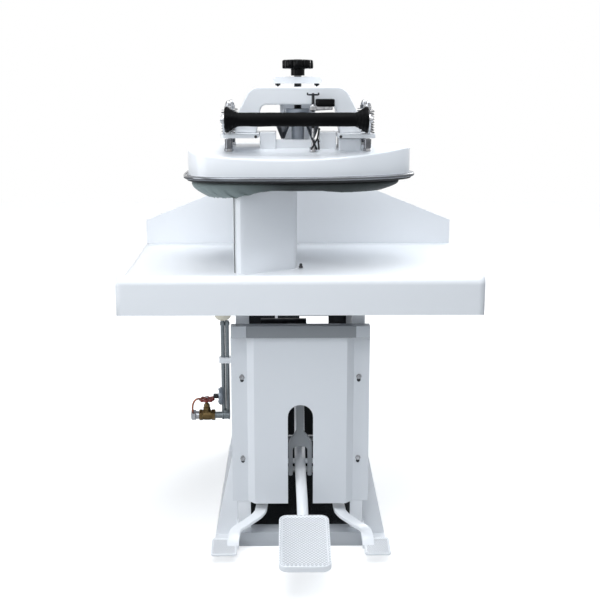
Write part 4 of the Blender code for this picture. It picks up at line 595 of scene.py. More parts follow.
def cloth(name, colour, other, threads, under_head_painted_shade=0.0):
    """Woven cloth with uneven threads, darker where it is scorched, and darkened towards its right end as
    painted shade under the head.
    """
    finish, tree, skin = blank_finish(name)
    woven = wire(tree, "Group", {"Threads": threads}, node_tree=weave).outputs
    uneven = wire(tree, "Group", {"Broad": 7.0}, node_tree=unevenness).outputs
    spot = wire(tree, "TexCoord").outputs["Object"]
    along = wire(tree, "SeparateXYZ", {0: spot}).outputs["X"]
    base = colour_mix(tree, woven["Thread"], (*colour, 1), (*other, 1))
    for darker, share in ((0.72, remap(tree, uneven["Tone"], 0.5, 0.8)),
                          (0.12, remap(tree, along, -0.24, -0.02, 0.0, under_head_painted_shade, "SMOOTHSTEP"))):
        base = colour_mix(tree, share, base, (*[value * darker for value in colour], 1))
    tree.links.new(base, skin.inputs["Base Color"])
    tree.links.new(remap(tree, woven["Thread"], 0.0, 1.0, 0.82, 0.98), skin.inputs["Roughness"])
    relief = wire(tree, "Bump", {"Height": woven["Height"], "Strength": 0.5, "Distance": 0.0004})
    tree.links.new(relief.outputs[0], skin.inputs["Normal"])
    skin.inputs["Sheen Weight"].default_value = 0.15
    skin.inputs["Sheen Roughness"].default_value = 0.5
    return finish


# The press cloth is darkened from the middle to its right end as painted shade under the head.
press_cloth = cloth("press_cloth", (0.215, 0.262, 0.262), (0.265, 0.315, 0.312), 2600.0, under_head_painted_shade=0.95)
hem_tape = cloth("hem_tape", (0.1, 0.125, 0.125), (0.14, 0.17, 0.165), 3200.0)
swell_z, tucked_end, tucked_side = 1.097, 0.0515, 0.0135
pad_rings = [buck_ring(1.0928, tucked_end, tucked_side), hem_ring(tucked_end, tucked_side, 0.002),
             gather(hem_ring(0.047, 0.0075, -0.0005), 0.0014)]
for share in [k / 10 for k in range(11)]:
    drawn = 1 - share
    level = buck_ring(0, 0.045 * drawn * drawn, 0.0045 * drawn * drawn,
                      lambda x, y, s=share: hem_height(x, y) + 0.0012 + (swell_z - hem_height(x, y)) * s)
    pad_rings.append(gather(level, 0.0028 * (0.2 + drawn) * (1 - share * share)))
for end, z in ((0.0004, 1.0995), (0.0015, 1.102), (0.004, 1.1042), (0.008, 1.1056), (0.014, 1.1064),
               (0.1, 1.1066)):
    pad_rings.append(buck_ring(z, end, end))
pad = piece("press_pad", loft(pad_rings), press_cloth, "frame", "buck_pad", turn=60)
hem_line = gather(hem_ring(0.0462, 0.0058, 0.0022), 0.0024)
piece("hem_cord", tube(hem_line, 0.0012, 6, ring=True), hem_tape, "frame")

# The head is a steel shoe with a rolled lip under a cast platen, and a painted cover pressed from
# sheet over them. The cover's top dips towards the operator, and its edge is a tight fold.
# The shoe under the lip is near black as painted shade, for the shadow between the head and the pad.
shoe_painted_shade = surface("shoe_painted_shade", "sole_steel", (0.016, 0.016, 0.017), 0.55, (0.03, 0.03, 0.031),
                    (0.12, 0.12, 0.12), broad=22.0, relief=0.0002, metallic=0.3, specular_ior_level=0.2)
lip_steel = surface("lip_steel", "sole_steel", (0.27, 0.28, 0.3), 0.18, (0.07, 0.075, 0.085),
                    (0.75, 0.75, 0.75), fine=700.0, broad=7.0, stretch=(1, 1, 5), relief=0.00004, wear=0.7,
                    reach=0.0012, metallic=1.0)
shoe_low, shoe_high = [corner.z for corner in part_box("sole_plate")]
cover_low, cover_top = [corner.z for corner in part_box("head_cover")]
lip_z, fold_radius = shoe_low + 0.0066, 0.005
shoe_rings = [plan_ring(z, out) for z, out in ((shoe_low, 0.0), (shoe_low + 0.0006, 0.003),
                                               (lip_z - 0.0008, 0.008), (lip_z, 0.0085), (lip_z, 0.002))]
piece("shoe", loft(shoe_rings), shoe_painted_shade, "head", "sole_plate")
lip_rings = [plan_ring(z, out) for z, out in (
    (lip_z + 0.0002, -0.002), (lip_z + 0.0002, 0.0108), (lip_z + 0.001, 0.0128), (lip_z + 0.003, 0.0144),
    (lip_z + 0.0055, 0.015), (shoe_high - 0.0022, 0.015), (shoe_high - 0.0006, 0.0141), (shoe_high, 0.0126),
    (shoe_high - 0.0005, 0.0113), (shoe_high - 0.004, 0.0098), (shoe_high - 0.0042, -0.002))]
piece("shoe_lip", loft(lip_rings + [lip_rings[0]], False), lip_steel, "head", turn=60)


def cover_height(x, y):
    """Height of the cover's top face."""
    across = min(1, abs(x + 0.02) / 0.34)
    return cover_top - 0.028 * math.cos(math.pi * across / 2) ** 0.55 * eased((head_y - y) / left_half)


cover_rings = [plan_ring(cover_low, 0.0), plan_ring(cover_low + 0.02, 0.0)]
for angle in [math.radians(a) for a in (0, 22, 45, 68, 90)]:
    inset, drop = fold_radius * (1 - math.cos(angle)), fold_radius * (1 - math.sin(angle))
    cover_rings.append(plan_ring(0, -inset, height=lambda x, y, d=drop: cover_height(x, y) - d))
fold_ring = plan_ring(0, -fold_radius)
for share in (0.08, 0.2, 0.35, 0.5, 0.65, 0.8, 0.92):
    cover_rings.append([Vector((x, y, cover_height(x, y))) for x, y in
                        [(spot.x + (head_wide_x - spot.x) * share, spot.y + (head_y - spot.y) * share)
                         for spot in fold_ring]])
piece("cover_skin", loft(cover_rings), white_enamel, "head", "head_cover", turn=40)

# The pressure column is turned steel with a broad head for the screw and a flange, dark as painted shade.
# Two plated cone-ended stops hang from the flange, between enamelled upstands joined by a low web.
column_grey = surface("column_grey", "cast_metal", (0.5, 0.54, 0.6), 0.37, (0.42, 0.46, 0.53), grey_worn,
                      fine=260.0, broad=18.0, wear=0.4, metallic=0.25)
# The flange's dark grey is painted shade under the handle.
flange_painted_shade = surface("flange_painted_shade", "cast_metal", (0.06, 0.075, 0.098), 0.37, (0.04, 0.05, 0.066),
                      (0.3, 0.31, 0.33), fine=260.0, broad=18.0, wear=0.6, metallic=0.4)
dark_steel = surface("dark_steel", "black_steel", (0.03, 0.031, 0.034), 0.37, (0.016, 0.016, 0.018),
                     (0.28, 0.28, 0.29), broad=25.0, wear=0.8, metallic=0.7, specular_ior_level=0.3)
dark_chrome = surface("dark_chrome", "black_steel", (0.17, 0.175, 0.19), 0.2, (0.07, 0.074, 0.082),
                      (0.6, 0.6, 0.62), broad=60.0, relief=0.00004, spread=0.06, metallic=1.0)
column_low, column_high, (column_x, column_y, _) = extent("pressure_column")
column_top = column_high.z
column = turned([(0.05, column_low.z), (0.05, column_low.z + 0.012), (0.0205, column_low.z + 0.013),
                 (0.0205, 1.283), (0.0385, 1.2872), (0.0385, column_top - 0.0008), (0.0377, column_top),
                 (0.0127, column_top), (0.0127, column_top - 0.04), (0.0005, column_top - 0.04)],
                (column_x, column_y, 0), sides=48)
piece("column", column, column_grey, "head", "pressure_column", turn=30)
flange = turned([(0.021, 1.275), (0.0652, 1.275), (0.066, 1.2758), (0.066, 1.2862), (0.0652, 1.287),
                 (0.039, 1.287)], (column_x, column_y, 0), sides=64, closed=False)
piece("column_flange", flange, flange_painted_shade, "head")
stops = [turned([(0.005, 1.2266), (0.006, 1.2274), (0.0222, 1.268), (0.0222, 1.2749)],
                (column_x + side * 0.046, column_y, 0), sides=36) for side in (-1, 1)]
piece("column_stops", joined(stops), dark_chrome, "head")
seat_sunk = 1.188
guides = [block((left, near, seat_sunk), (right, far, top)) for left, right, near, far, top in (
    (-0.0734, 0.0626, 0.205, 0.221, 1.2262), (-0.1212, -0.0724, 0.195, 0.3, 1.249),
    (0.0616, 0.111, 0.195, 0.3, 1.249), (0.118, 0.186, 0.165, 0.3, 1.2305))]
piece("arm_guides", joined(guides), white_enamel, "head", width=0.003)

# Four bright posts hang the head from the arm's ears. Each has a nut at its foot and a dark plated
# sleeve below the ear, and above it a coil spring, a washer and a domed cap nut.
# The spring steel is mottled from grey to near black in broad patches, as painted glints and reflections.
spring_wire = surface("spring_wire", "bright_steel", (0.3, 0.3, 0.31), 0.2, (0.03, 0.03, 0.033),
                      (0.6, 0.6, 0.6), fine=400.0, broad=130.0, relief=0.00003, wear=0.3, reach=0.0008,
                      spread=0.06, metallic=1.0)
ear_low, ear_top = [corner.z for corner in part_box("ear_left")]
post_top, curl_points = 1.315, 20


def nut(place, profile, start=0.0, along="Z"):
    """A six-sided nut of (corner radius, height) pairs that stands on a place along Z, X or -X."""
    x, y, z = place
    way = -1 if along == "-X" else 1
    return loft([[Vector((x + u, y + v, z + height) if along == "Z" else (x + way * height, y + u, z + v))
                  for u, v in circle(0, 0, radius, 6, start)] for radius, height in profile])


def coil_route(radius, first, last, curls):
    """A coil about the Z axis from one height to another."""
    turns = [2 * math.pi * i / curl_points for i in range(curls * curl_points + 1)]
    rise = (last - first) / turns[-1]
    return [(*polar(0, 0, radius, t), first + rise * t) for t in turns]


sleeves = []
for name in ("front_left", "rear_left", "front_right", "rear_right"):
    low, high, (x, y, _) = extent("spring_post_" + name)
    seat_z = cover_height(x, y) - 0.0008
    shaft = turned([(0.007, low.z), (0.007, post_top)], (x, y, 0))
    foot_nut = nut((x, y, seat_z), ((0.0138, 0), (0.0138, 0.008), (0.0126, 0.009)), 0.2)
    washer = turned([(0.0075, 1.3153), (0.0196, 1.3153), (0.02, 1.3157), (0.02, 1.3171), (0.0196, 1.3175),
                     (0.0075, 1.3175)], (x, y, 0), closed=False)
    cap_nut = nut((x, y, 0), ((0.0112, 1.3175), (0.012, 1.3182), (0.012, 1.3268), (0.0108, 1.3276)), 0.3)
    dome = turned([(0.0098 * math.cos(math.radians(a)), 1.3272 + 0.017 * math.sin(math.radians(a)))
                   for a in range(0, 86, 8)] + [(0.0004, high.z)], (x, y, 0))
    piece("post_" + name, joined([shaft, foot_nut, washer, cap_nut, dome]), polished_painted_reflections, "head",
          "spring_post_" + name)
    sleeves.append(turned([(0.011, seat_z + 0.0088), (0.0116, seat_z + 0.0094), (0.0116, ear_low - 0.0052),
                           (0.011, ear_low - 0.0046)], (x, y, 0)))
    spring_low, spring_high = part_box("head_spring_" + name)
    wire_radius = 0.002
    route = [(x + u, y + v, z) for u, v, z in
             coil_route(0.019, spring_low.z + wire_radius, spring_high.z - wire_radius, 8)]
    coil = piece("coil_" + name, tube(route, wire_radius, 8), spring_wire, None, "head_spring_" + name,
                 turn=60)
    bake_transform(coil)
piece("post_sleeves", joined(sleeves), dark_chrome, "head")

# The head arm is welded from plate: an arch over the head, two cheeks with a strip between them that
# bend down behind the table to the hub, a tail for the push rod and two lugs for the rear springs.
axis_planes = {
    "XY": Matrix.Identity(4),
    "XZ": Matrix(((1, 0, 0, 0), (0, 0, 1, 0), (0, 1, 0, 0), (0, 0, 0, 1))),
    "YZ": Matrix(((0, 0, 1, 0), (1, 0, 0, 0), (0, 1, 0, 0), (0, 0, 0, 1))),
}


def plate(plane, loops, low, high, edge=0.0):
    """A flat plate from an outline with any holes after it, its edges rounded by a radius."""
    curve = bpy.data.curves.new("outline", "CURVE")
    curve.dimensions, curve.fill_mode = "2D", "BOTH"
    curve.extrude = (high - low) / 2 - edge
    curve.bevel_depth, curve.offset, curve.bevel_resolution = edge, -edge, 3
    for loop in loops:
        spline = curve.splines.new("POLY")
        spline.points.add(len(loop) - 1)
        for point, (u, v) in zip(spline.points, loop):
            point.co = (u, v, 0, 1)
        spline.use_cyclic_u = True
    holder = placed("outline", curve)
    graph = bpy.context.evaluated_depsgraph_get()
    mesh = bpy.data.meshes.new_from_object(holder.evaluated_get(graph))
    shape = bmesh.new()
    shape.from_mesh(mesh)
    bpy.data.objects.remove(holder)
    bpy.data.meshes.remove(mesh)
    bmesh.ops.remove_doubles(shape, verts=shape.verts, dist=0.000005)
    shape.transform(axis_planes[plane] @ Matrix.Translation((0, 0, (low + high) / 2)))
    bmesh.ops.recalc_face_normals(shape, faces=shape.faces)
    return shape


def arm_plate(name, plane, loops, low, high, edge, replaces="", turn=50):
    """A white plate that rides on the arm, with its broad faces kept flat in the light."""
    shape = plate(plane, loops, low, high, edge)
    piece(name, shape, white_enamel, "head_arm", replaces, turn=turn, flat=True)


def rounded(points, radius, steps=8):
    """Replace the corners of a closed outline with arcs; a radius of zero keeps a corner."""
    radii = radius if isinstance(radius, (list, tuple)) else [radius] * len(points)
    outline = []
    for i, (point, wanted) in enumerate(zip(points, radii)):
        corner = Vector(point)
        if wanted == 0:
            outline.append(tuple(corner))
            continue
        before = Vector(points[i - 1]) - corner
        after = Vector(points[(i + 1) % len(points)]) - corner
        half = before.angle(after) / 2
        reach = min(wanted / math.tan(half), before.length / 2, after.length / 2)
        fitted = reach * math.tan(half)
        inward = (before.normalized() + after.normalized()).normalized()
        centre = corner + inward * (fitted / math.sin(half))
        first = corner + before.normalized() * reach - centre
        last = corner + after.normalized() * reach - centre
        swing = first.angle_signed(last)
        for step in range(steps + 1):
            outline.append(tuple(centre + Matrix.Rotation(-swing * step / steps, 2) @ first))
    return outline


def link_outline(start, end, start_radius, end_radius, steps=16):
    """A flat link's outline with a round end about each of two points."""
    facing = math.atan2(end[1] - start[1], end[0] - start[0])
    outline = []
    for centre, radius, turn in ((end, end_radius, 0), (start, start_radius, math.pi)):
        for step in range(steps + 1):
            outline.append(polar(*centre, radius, facing + turn - math.pi / 2 + math.pi * step / steps))
    return outline


def hub(bore, radius, length, chamfer, place, sides):
    """A ring along X from its left end, chamfered at both ends and open for its shaft."""
    profile = [(bore, 0), (radius - chamfer, 0), (radius, chamfer), (radius, length - chamfer),
               (radius - chamfer, length), (bore, length)]
    return turned(profile, place, (1, 0, 0), sides, False)


def weld_bead(name, route, ring=False):
    """A rippled fillet weld under the arm's paint, along a route."""
    places = [Vector(spot) for spot in route]
    radii = [0.0028 * (1 + 0.16 * math.sin(i * 2.4) + 0.1 * noise.noise(spot * 190))
             for i, spot in enumerate(places)]
    piece(name, tube(places, radii, 8, ring), white_enamel, "head_arm", turn=80)


arm_x, arch_top = -0.005, 1.384
arch_near, arch_far = 0.185, 0.305
foot_z, arm_top = ear_top + 0.0003, arch_top - 0.003
arch = [(-0.1925, foot_z), (-0.1815, 1.307), (-0.142, arch_top), (0.142, arch_top), (0.1815, 1.307),
        (0.1925, foot_z), (0.1275, foot_z), (0.1125, 1.331), (-0.1125, 1.331), (-0.1275, foot_z)]
arch_radii = [0, 0.04, 0.04, 0.04, 0.04, 0, 0, 0.022, 0.022, 0]
arch_outline = rounded([(arm_x + u, v) for u, v in arch], arch_radii)
arm_plate("arm_arch", "XZ", [arch_outline], arch_near, arch_far, 0.0045, "head_arm")
ear_near, ear_far, ear_inner, ear_outer = 0.115, 0.365, 0.118, 0.23
for side, label in ((-1, "left"), (1, "right")):
    first, last = sorted((arm_x + side * ear_inner, arm_x + side * ear_outer))
    ear = rounded(oblong(first, last, ear_near, ear_far), 0.012)
    holes = [circle(arm_x + side * 0.209, y, 0.0078) for y in (0.16, 0.33)]
    arm_plate("ear_plate_" + label, "XY", [ear] + holes, ear_low, ear_top, 0.001, "ear_" + label)
    piece("ear_screw_" + label, cross_screw((arm_x + side * 0.1262, ear_near, ear_low + 0.0045), 0.0032),
          seam_black, "head_arm")
pivot, tail, lug_z = (0.77, 0.9), (0.77, 0.64), 0.955
back_bend = [(0.29, arm_top), (0.6, arm_top), (0.815, 1.17), (0.815, 0.9)]
cheek = rounded(back_bend + [(0.797, 0.64), (0.7835, 0.613), (0.7565, 0.613), (0.743, 0.64), (0.725, 0.9),
                             (0.725, 1.13), (0.558, 1.297), (0.374, 1.297), (0.29, 1.334)],
                [0, 0.09, 0.09, 0, 0, 0.009, 0.009, 0, 0, 0.09, 0.09, 0.084, 0])
lug = link_outline(pivot, (spring_y, lug_z), 0.032, 0.018)
lug_pin = [(0.0042, 0), (0.0042, 0.0245), (0.0034, 0.026)]
cheek_inner, cheek_outer = 0.045, 0.055
for side, label in ((-1, "left"), (1, "right")):
    low, high = sorted((arm_x + side * cheek_outer, arm_x + side * cheek_inner))
    arm_plate("arm_cheek_" + label, "YZ", [cheek, circle(*tail, 0.0086)], low, high, 0.0015)
    low, high = sorted((side * (spring_x - eye_half), side * (spring_x + eye_half)))
    arm_plate("spring_lug_" + label, "YZ", [lug, circle(*pivot, 0.0206)], low, high, 0.0015)
    pin = turned(lug_pin, (side * spring_x, spring_y, lug_z + 0.0005), (side, 0, 0), 20)
    piece("spring_pin_" + label, pin, bright_steel, "head_arm")
strip_path = rounded(back_bend, [0, 0.09, 0.09, 0])
strip = [(u - 0.0001, v + 0.0001) for u, v in strip_path]
strip += [(u - 0.008, v - 0.009) for u, v in reversed(strip_path)]
arm_plate("arm_strip", "YZ", [strip], arm_x - 0.05, arm_x + 0.05, 0.0008)
piece("arm_hub", hub(0.0206, 0.032, 0.3, 0.002, (-0.15, *pivot), 48), white_enamel, "head_arm")
hub_round = circle(*pivot, 0.0325, 90)
for side, label in ((-1, "left"), (1, "right")):
    x = arm_x + side * 0.0555
    weld_bead("cheek_weld_" + label, [(x, y, z) for y, z in hub_round], ring=True)
    weld_bead("arch_weld_" + label, [(x, arch_far + 0.0008, 1.337 + 0.042 * i / 24) for i in range(25)])
    weld_bead("lug_weld_" + label, [(side * 0.1045, y, z) for y, z in hub_round], ring=True)

# Two long springs at the back balance the arm. Each is wound from bright wire, with a hook at both
# ends, between a lug on the arm and an eye on the frame's crossbar.
wire_radius, hook_radius, tail_length = 0.003, 0.0093, 0.045
hook_turns = list(range(60, -211, -15))
for label in ("left", "right"):
    low, high, (x, y, _) = extent("counter_spring_" + label)
    coil_radius = (high.y - low.y) / 2 - wire_radius
    hook_low, hook_high = low.z + hook_radius + wire_radius, high.z - hook_radius - wire_radius
    first, last = hook_low + tail_length, hook_high - tail_length
    route = [(x, u, v) for u, v in arc(y, hook_low, hook_radius, hook_turns)]
    route += [(x, y, first - 0.018), (x, y + coil_radius * 0.7, first - 0.006)]
    route += [(x + v, y + u, z) for u, v, z in coil_route(coil_radius, first, last, 14)]
    route += [(x, y + coil_radius * 0.7, last + 0.006), (x, y, last + 0.018)]
    route += [(x, u, v) for u, v in arc(y, hook_high, hook_radius, [-a for a in reversed(hook_turns)])]
    spring = piece("balance_spring_" + label, tube(route, wire_radius, 8), spring_wire, "frame",
                   "counter_spring_" + label, turn=60)
    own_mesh(spring)

# The handle is a steel bar in two lugs that are fixed to the ears. It carries a soft black sleeve
# that flares and creases at both ends.
dress("handle_bracket", bright_steel, 0.001)
sleeve_black = surface("sleeve_black", "black_plastic", (0.0025, 0.0025, 0.0028), 0.39,
                       (0.006, 0.006, 0.0065), (0.03, 0.03, 0.03), fine=160.0, broad=12.0, relief=0.0003,
                       wear=0.3, spread=0.1, specular_ior_level=0.03)
grip_low, grip_high, (_, grip_y, grip_z) = extent("handle_grip")
grip_radius, flare_radius, flare_length, lip_length = 0.0205, 0.038, 0.032, 0.008
bar_radius, grip_points = 0.0093, 56
grip_length = grip_high.x - grip_low.x
flared = [0, 0.0008, 0.003, 0.0055] + [0.008 + 0.0021 * i for i in range(26)]
stations = flared + [0.075 + (grip_length - 0.15) * i / 24 for i in range(25)]
stations += [grip_length - along for along in reversed(flared)]
mouths = [[Vector((x, y, z)) for y, z in circle(grip_y, grip_z, bar_radius, grip_points)]
          for x in (grip_low.x, grip_high.x)]
grip_rings = [mouths[0]]
for along in stations:
    end = min(along, grip_length - along)
    share = max(0, 1 - max(0, end - lip_length) / flare_length)
    flare = grip_radius + (flare_radius - grip_radius) * share ** 1.3
    if end < lip_length:
        flare = flare_radius * (0.8 + 0.2 * math.sqrt(max(0, 1 - ((lip_length - end) / lip_length) ** 2)))
    ring = []
    for t in around(grip_points):
        folds = math.sin(7 * t + 30 * end + 3 * noise.noise(Vector((t, along * 8, 1)))) * 0.0017 * share
        folds += 0.001 * share * (1 - share) * 4 * math.sin(along * 620 + 2 * math.sin(2 * t))
        folds += 0.0011 * noise.noise(Vector((along * 24, math.cos(t), math.sin(t)))) * (1 - share)
        swollen = min(flare + folds, flare_radius + 0.001)
        ring.append(Vector((grip_low.x + along, *polar(grip_y, grip_z, swollen, t))))
    grip_rings.append(ring)
sleeve = loft(grip_rings + [mouths[1]], False)
piece("handle_sleeve", sleeve, sleeve_black, "head_arm", "handle_grip", turn=70)

# On top of the arch a bridge plate stands on two pointed studs. The threaded pressure screw runs
# down through both, and a moulded knob with eight lobes turns it.
screw_low, screw_high, (screw_x, screw_y, _) = extent("pressure_screw")
crest, root, pitch = 0.0119, 0.0102, 0.003
thread = []
z = screw_low.z
while z < screw_high.z - pitch:
    thread += [(crest, z), (crest, z + pitch * 0.2), (root, z + pitch * 0.5), (root, z + pitch * 0.7)]
    z += pitch
thread.append((crest, screw_high.z))
piece("screw_thread", turned(thread, (screw_x, screw_y, 0)), dark_steel, "knob", "pressure_screw", turn=25)
bridge_low, bridge_high, (bridge_x, _, _) = extent("bridge_plate")
half, base_z, top_z = (bridge_high.x - bridge_low.x) / 2, 1.394, bridge_high.z
bridge = [(-half + 0.006, base_z), (half - 0.006, base_z), (half, base_z + 0.003), (half, base_z + 0.012),
          (half - 0.0075, top_z), (-half + 0.0075, top_z), (-half, base_z + 0.012), (-half, base_z + 0.003)]
bridge = [(bridge_x + u, z) for u, z in bridge]
arm_plate("bridge", "XZ", [bridge], 0.227, 0.277, 0.0012, "bridge_plate", 30)
studs = []
for x in (-0.066, 0.0535):
    studs.append(turned([(0.0008, 1.3842), (0.005, 1.3878), (0.005, 1.3938)], (x, screw_y, 0), sides=24))
    studs.append(nut((x, screw_y, 0), ((0.007, 1.388), (0.0078, 1.3886), (0.0078, 1.3938))))
piece("bridge_studs", joined(studs), dark_steel, "head_arm")
knob_plastic = surface("knob_plastic", "black_plastic", (0.0025, 0.0025, 0.0028), 0.18,
                       (0.005, 0.005, 0.0055), (0.03, 0.03, 0.03), fine=500.0, broad=16.0, wear=0.3,
                       specular_ior_level=0.08)
knob_low, knob_high = [corner.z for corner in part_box("pressure_knob")]
wheel_low, wheel_high, knob_points = 1.437, 1.4645, 160


def knob_ring(z, radius, lobe):
    """A ring of the knob with eight rounded lobes."""
    ring = []
    for t in around(knob_points):
        reach = radius + lobe * (abs(math.cos(4 * t)) ** 0.6 * 2 - 1)
        ring.append(Vector((*polar(screw_x, screw_y, reach, t), z)))
    return ring


knob_rings = [knob_ring(z, radius, lobe) for z, radius, lobe in (
    (knob_low, 0.02, 0), (knob_low + 0.001, 0.021, 0), (wheel_low - 0.002, 0.021, 0), (wheel_low, 0.023, 0),
    (wheel_low + 0.0003, 0.038, 0.003), (wheel_low + 0.0015, 0.0425, 0.0035),
    (wheel_low + 0.004, 0.044, 0.0035), (wheel_high - 0.004, 0.044, 0.0035),
    (wheel_high - 0.0015, 0.0425, 0.0035), (wheel_high, 0.0385, 0.003), (wheel_high + 0.0003, 0.034, 0),
    (wheel_high - 0.001, 0.032, 0), (wheel_high - 0.001, 0.016, 0), (knob_high - 0.0008, 0.014, 0),
    (knob_high, 0.011, 0))]
piece("knob_wheel", loft(knob_rings), knob_plastic, "knob", "pressure_knob", turn=40)

# The hand steam valve stands on the head's cover, with dark links beside its plated body. An upright
# stem with a T-shaped prong turns in it, and carries a short bracket with a black hand grip.
valve_low, valve_high, (valve_x, valve_y, _) = extent("head_steam_valve")
base_z, top_z = valve_low.z, valve_high.z
cross_z = base_z + 0.4 * (top_z - base_z)
body = [(0.0105, base_z), (0.0105, base_z + 0.012), (0.009, base_z + 0.013), (0.005, base_z + 0.0135),
        (0.005, cross_z), (0.0062, cross_z + 0.001), (0.0062, cross_z + 0.009), (0.0042, cross_z + 0.01),
        (0.0042, top_z)]
piece("steam_valve_body", turned(body, (valve_x, valve_y, 0), sides=24), polished_painted_reflections, "head",
      "head_steam_valve")
links = [tube([(valve_x + x, valve_y - 0.0095, z) for x, z in route], 0.0027, 10) for route in (
    ((0.0185, top_z), (0.0135, cross_z + 0.012), (-0.006, base_z + 0.006)),
    ((-0.0045, cross_z + 0.014), (0.002, cross_z), (0.0125, base_z + 0.006)),
    ((0.015, cross_z + 0.01), (0.018, base_z + 0.006)))]
links += [tube([(valve_x + x, valve_y - 0.012, z), (valve_x + x, valve_y, z)], 0.0034, 12)
          for x, z in ((0.0185, top_z - 0.002), (0.0, cross_z + 0.004), (0.0165, cross_z + 0.003))]
piece("valve_links", joined(links), dark_steel, "head", turn=60)
stem_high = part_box("steam_lever")[1].z
prongs = [(-0.0165, 1.367), (-0.0165, 1.3612), (-0.013, 1.361), (0.013, 1.361), (0.0165, 1.3612),
          (0.0165, 1.367)]
stem_parts = [turned([(0.004, top_z + 0.0003), (0.0045, top_z + 0.001), (0.0045, stem_high - 0.004),
                      (0.003, stem_high)], (valve_x, valve_y, 0), sides=20),
              tube([(valve_x + u, valve_y, z) for u, z in prongs], 0.0026, 12)]
piece("steam_stem", joined(stem_parts), dark_steel, "steam_lever", "steam_lever")
low, high = 1.313, 1.3285
bracket = rounded([(0.03, low), (0.099, low + 0.004), (0.099, high), (0.03, high)], 0.003)
collar = turned([(0.0062, low - 0.004), (0.0068, low - 0.003), (0.0068, high + 0.003),
                 (0.0062, high + 0.004)], (valve_x, valve_y, 0), sides=24)
bracket_parts = [plate("XZ", [bracket], valve_y - 0.007, valve_y + 0.007, 0.001), collar]
piece("grip_bracket", joined(bracket_parts), polished_painted_reflections, "steam_lever")
hand_low, hand_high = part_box("steam_lever_grip")
hand_outline = rounded(oblong(hand_low.x - 0.005, hand_high.x - 0.003, hand_low.y, hand_high.y), 0.0108)
grip = plate("XY", [hand_outline], hand_low.z - 0.003, hand_high.z - 0.002, 0.004)
piece("hand_grip", grip, knob_plastic, "steam_lever", "steam_lever_grip", turn=60)

# The foot lever is a bent tube on a hub, on the lowest cross shaft but one. Its cast foot plate is
# enamelled, and has a raised rim round a diamond tread with darker grooves.
tread, given, result = effect("tread", [("Pitch", number, 0.0075)], ["Height", "Groove"])
spot = wire(tread, "TexCoord").outputs["Object"]
apart = wire(tread, "SeparateXYZ", {0: spot}).outputs
grooves = []
for sign in (1.0, -1.0):
    slanted = compute(tread, "MULTIPLY_ADD", apart["Y"], sign, apart["X"])
    share = compute(tread, "FRACT", compute(tread, "DIVIDE", slanted, given["Pitch"]))
    far = compute(tread, "ABSOLUTE", compute(tread, "SUBTRACT", share, 0.5))
    grooves.append(remap(tread, far, 0.36, 0.45, smooth="SMOOTHSTEP"))
facing = wire(tread, "NewGeometry").outputs["True Normal"]
facing_up = wire(tread, "SeparateXYZ", {0: facing}).outputs["Z"]
upward = remap(tread, facing_up, 0.9, 0.95)
cut = compute(tread, "MULTIPLY", compute(tread, "MAXIMUM", *grooves), upward)
tread.links.new(cut, result["Groove"])
tread.links.new(compute(tread, "SUBTRACT", upward, cut), result["Height"])


def tread_finish(name, pitch):
    """The white enamel over a diamond tread, with its grooves darker."""
    finish = white_enamel.copy()
    finish.name = name
    tree = finish.node_tree
    inputs = tree.nodes["Principled BSDF"].inputs
    pattern = wire(tree, "Group", {"Pitch": pitch}, node_tree=tread).outputs
    groove_darkening = compute(tree, "MULTIPLY", pattern["Groove"], 0.8)
    base, ripple = [inputs[label].links[0].from_socket for label in ("Base Color", "Normal")]
    tree.links.new(colour_mix(tree, groove_darkening, base, (0.4, 0.41, 0.43, 1)), inputs["Base Color"])
    relief = wire(tree, "Bump", {"Height": pattern["Height"], "Normal": ripple, "Strength": 0.9,
                                 "Distance": 0.0014})
    tree.links.new(relief.outputs[0], inputs["Normal"])
    return finish


def foot_plate(centre, half, front, back, thickness, corner, rim, recess):
    """A foot plate with a rounded rim round a sunk tread, sloping up from front to back."""
    length = math.dist(front, back)
    slope = math.atan2(back[1] - front[1], back[0] - front[0])
    rings = []
    for draw, height in ((0.0015, -thickness), (0, 0.0015 - thickness), (0, -0.0022), (0.0007, -0.0007),
                         (0.0022, 0), (rim - 0.0015, 0), (rim - 0.0003, -0.0006),
                         (rim + 0.0008, 0.0004 - recess), (rim + 0.0015, -recess)):
        drawn_in = oblong(draw - half, half - draw, draw, length - draw)
        rings.append([Vector((u, v, height)) for u, v in rounded(drawn_in, max(corner - draw, 0.002))])
    shape = loft(rings)
    shape.transform(Matrix.Translation((centre, *front)) @ Matrix.Rotation(slope, 4, "X"))
    return shape


plate_x = extent("pedal_plate")[2][0]
piece("foot_plate", foot_plate(plate_x, 0.073, (-0.38, 0.108), (-0.14, 0.153), 0.02, 0.024, 0.009, 0.0025),
      tread_finish("main_tread", 0.0112), "pedal_lever", "pedal_plate", turn=50)
lever_pivot, fork_pivot = (0.58, 0.36), (0.0818, 0.235)
lever_route = smooth_route([(0.005, -0.22, 0.1005), (0.005, -0.1344, 0.1158), (0.005, -0.0827, 0.153),
                            (0.0, *fork_pivot), (0.0, 0.3309, 0.32), (0.0, *lever_pivot)], 10)
lever_hub = hub(0.0146, 0.027, 0.104, 0.0015, (-0.052, *lever_pivot), 40)
fork_pin = turned([(0.007, 0), (0.008, 0.001), (0.008, 0.088), (0.007, 0.089)], (-0.0445, *fork_pivot),
                  (1, 0, 0), 24)
lever_tube = joined([tube(lever_route, 0.01685, 24), lever_hub, fork_pin])
piece("lever_tube", lever_tube, white_enamel, "pedal_lever", "pedal_lever", turn=40)


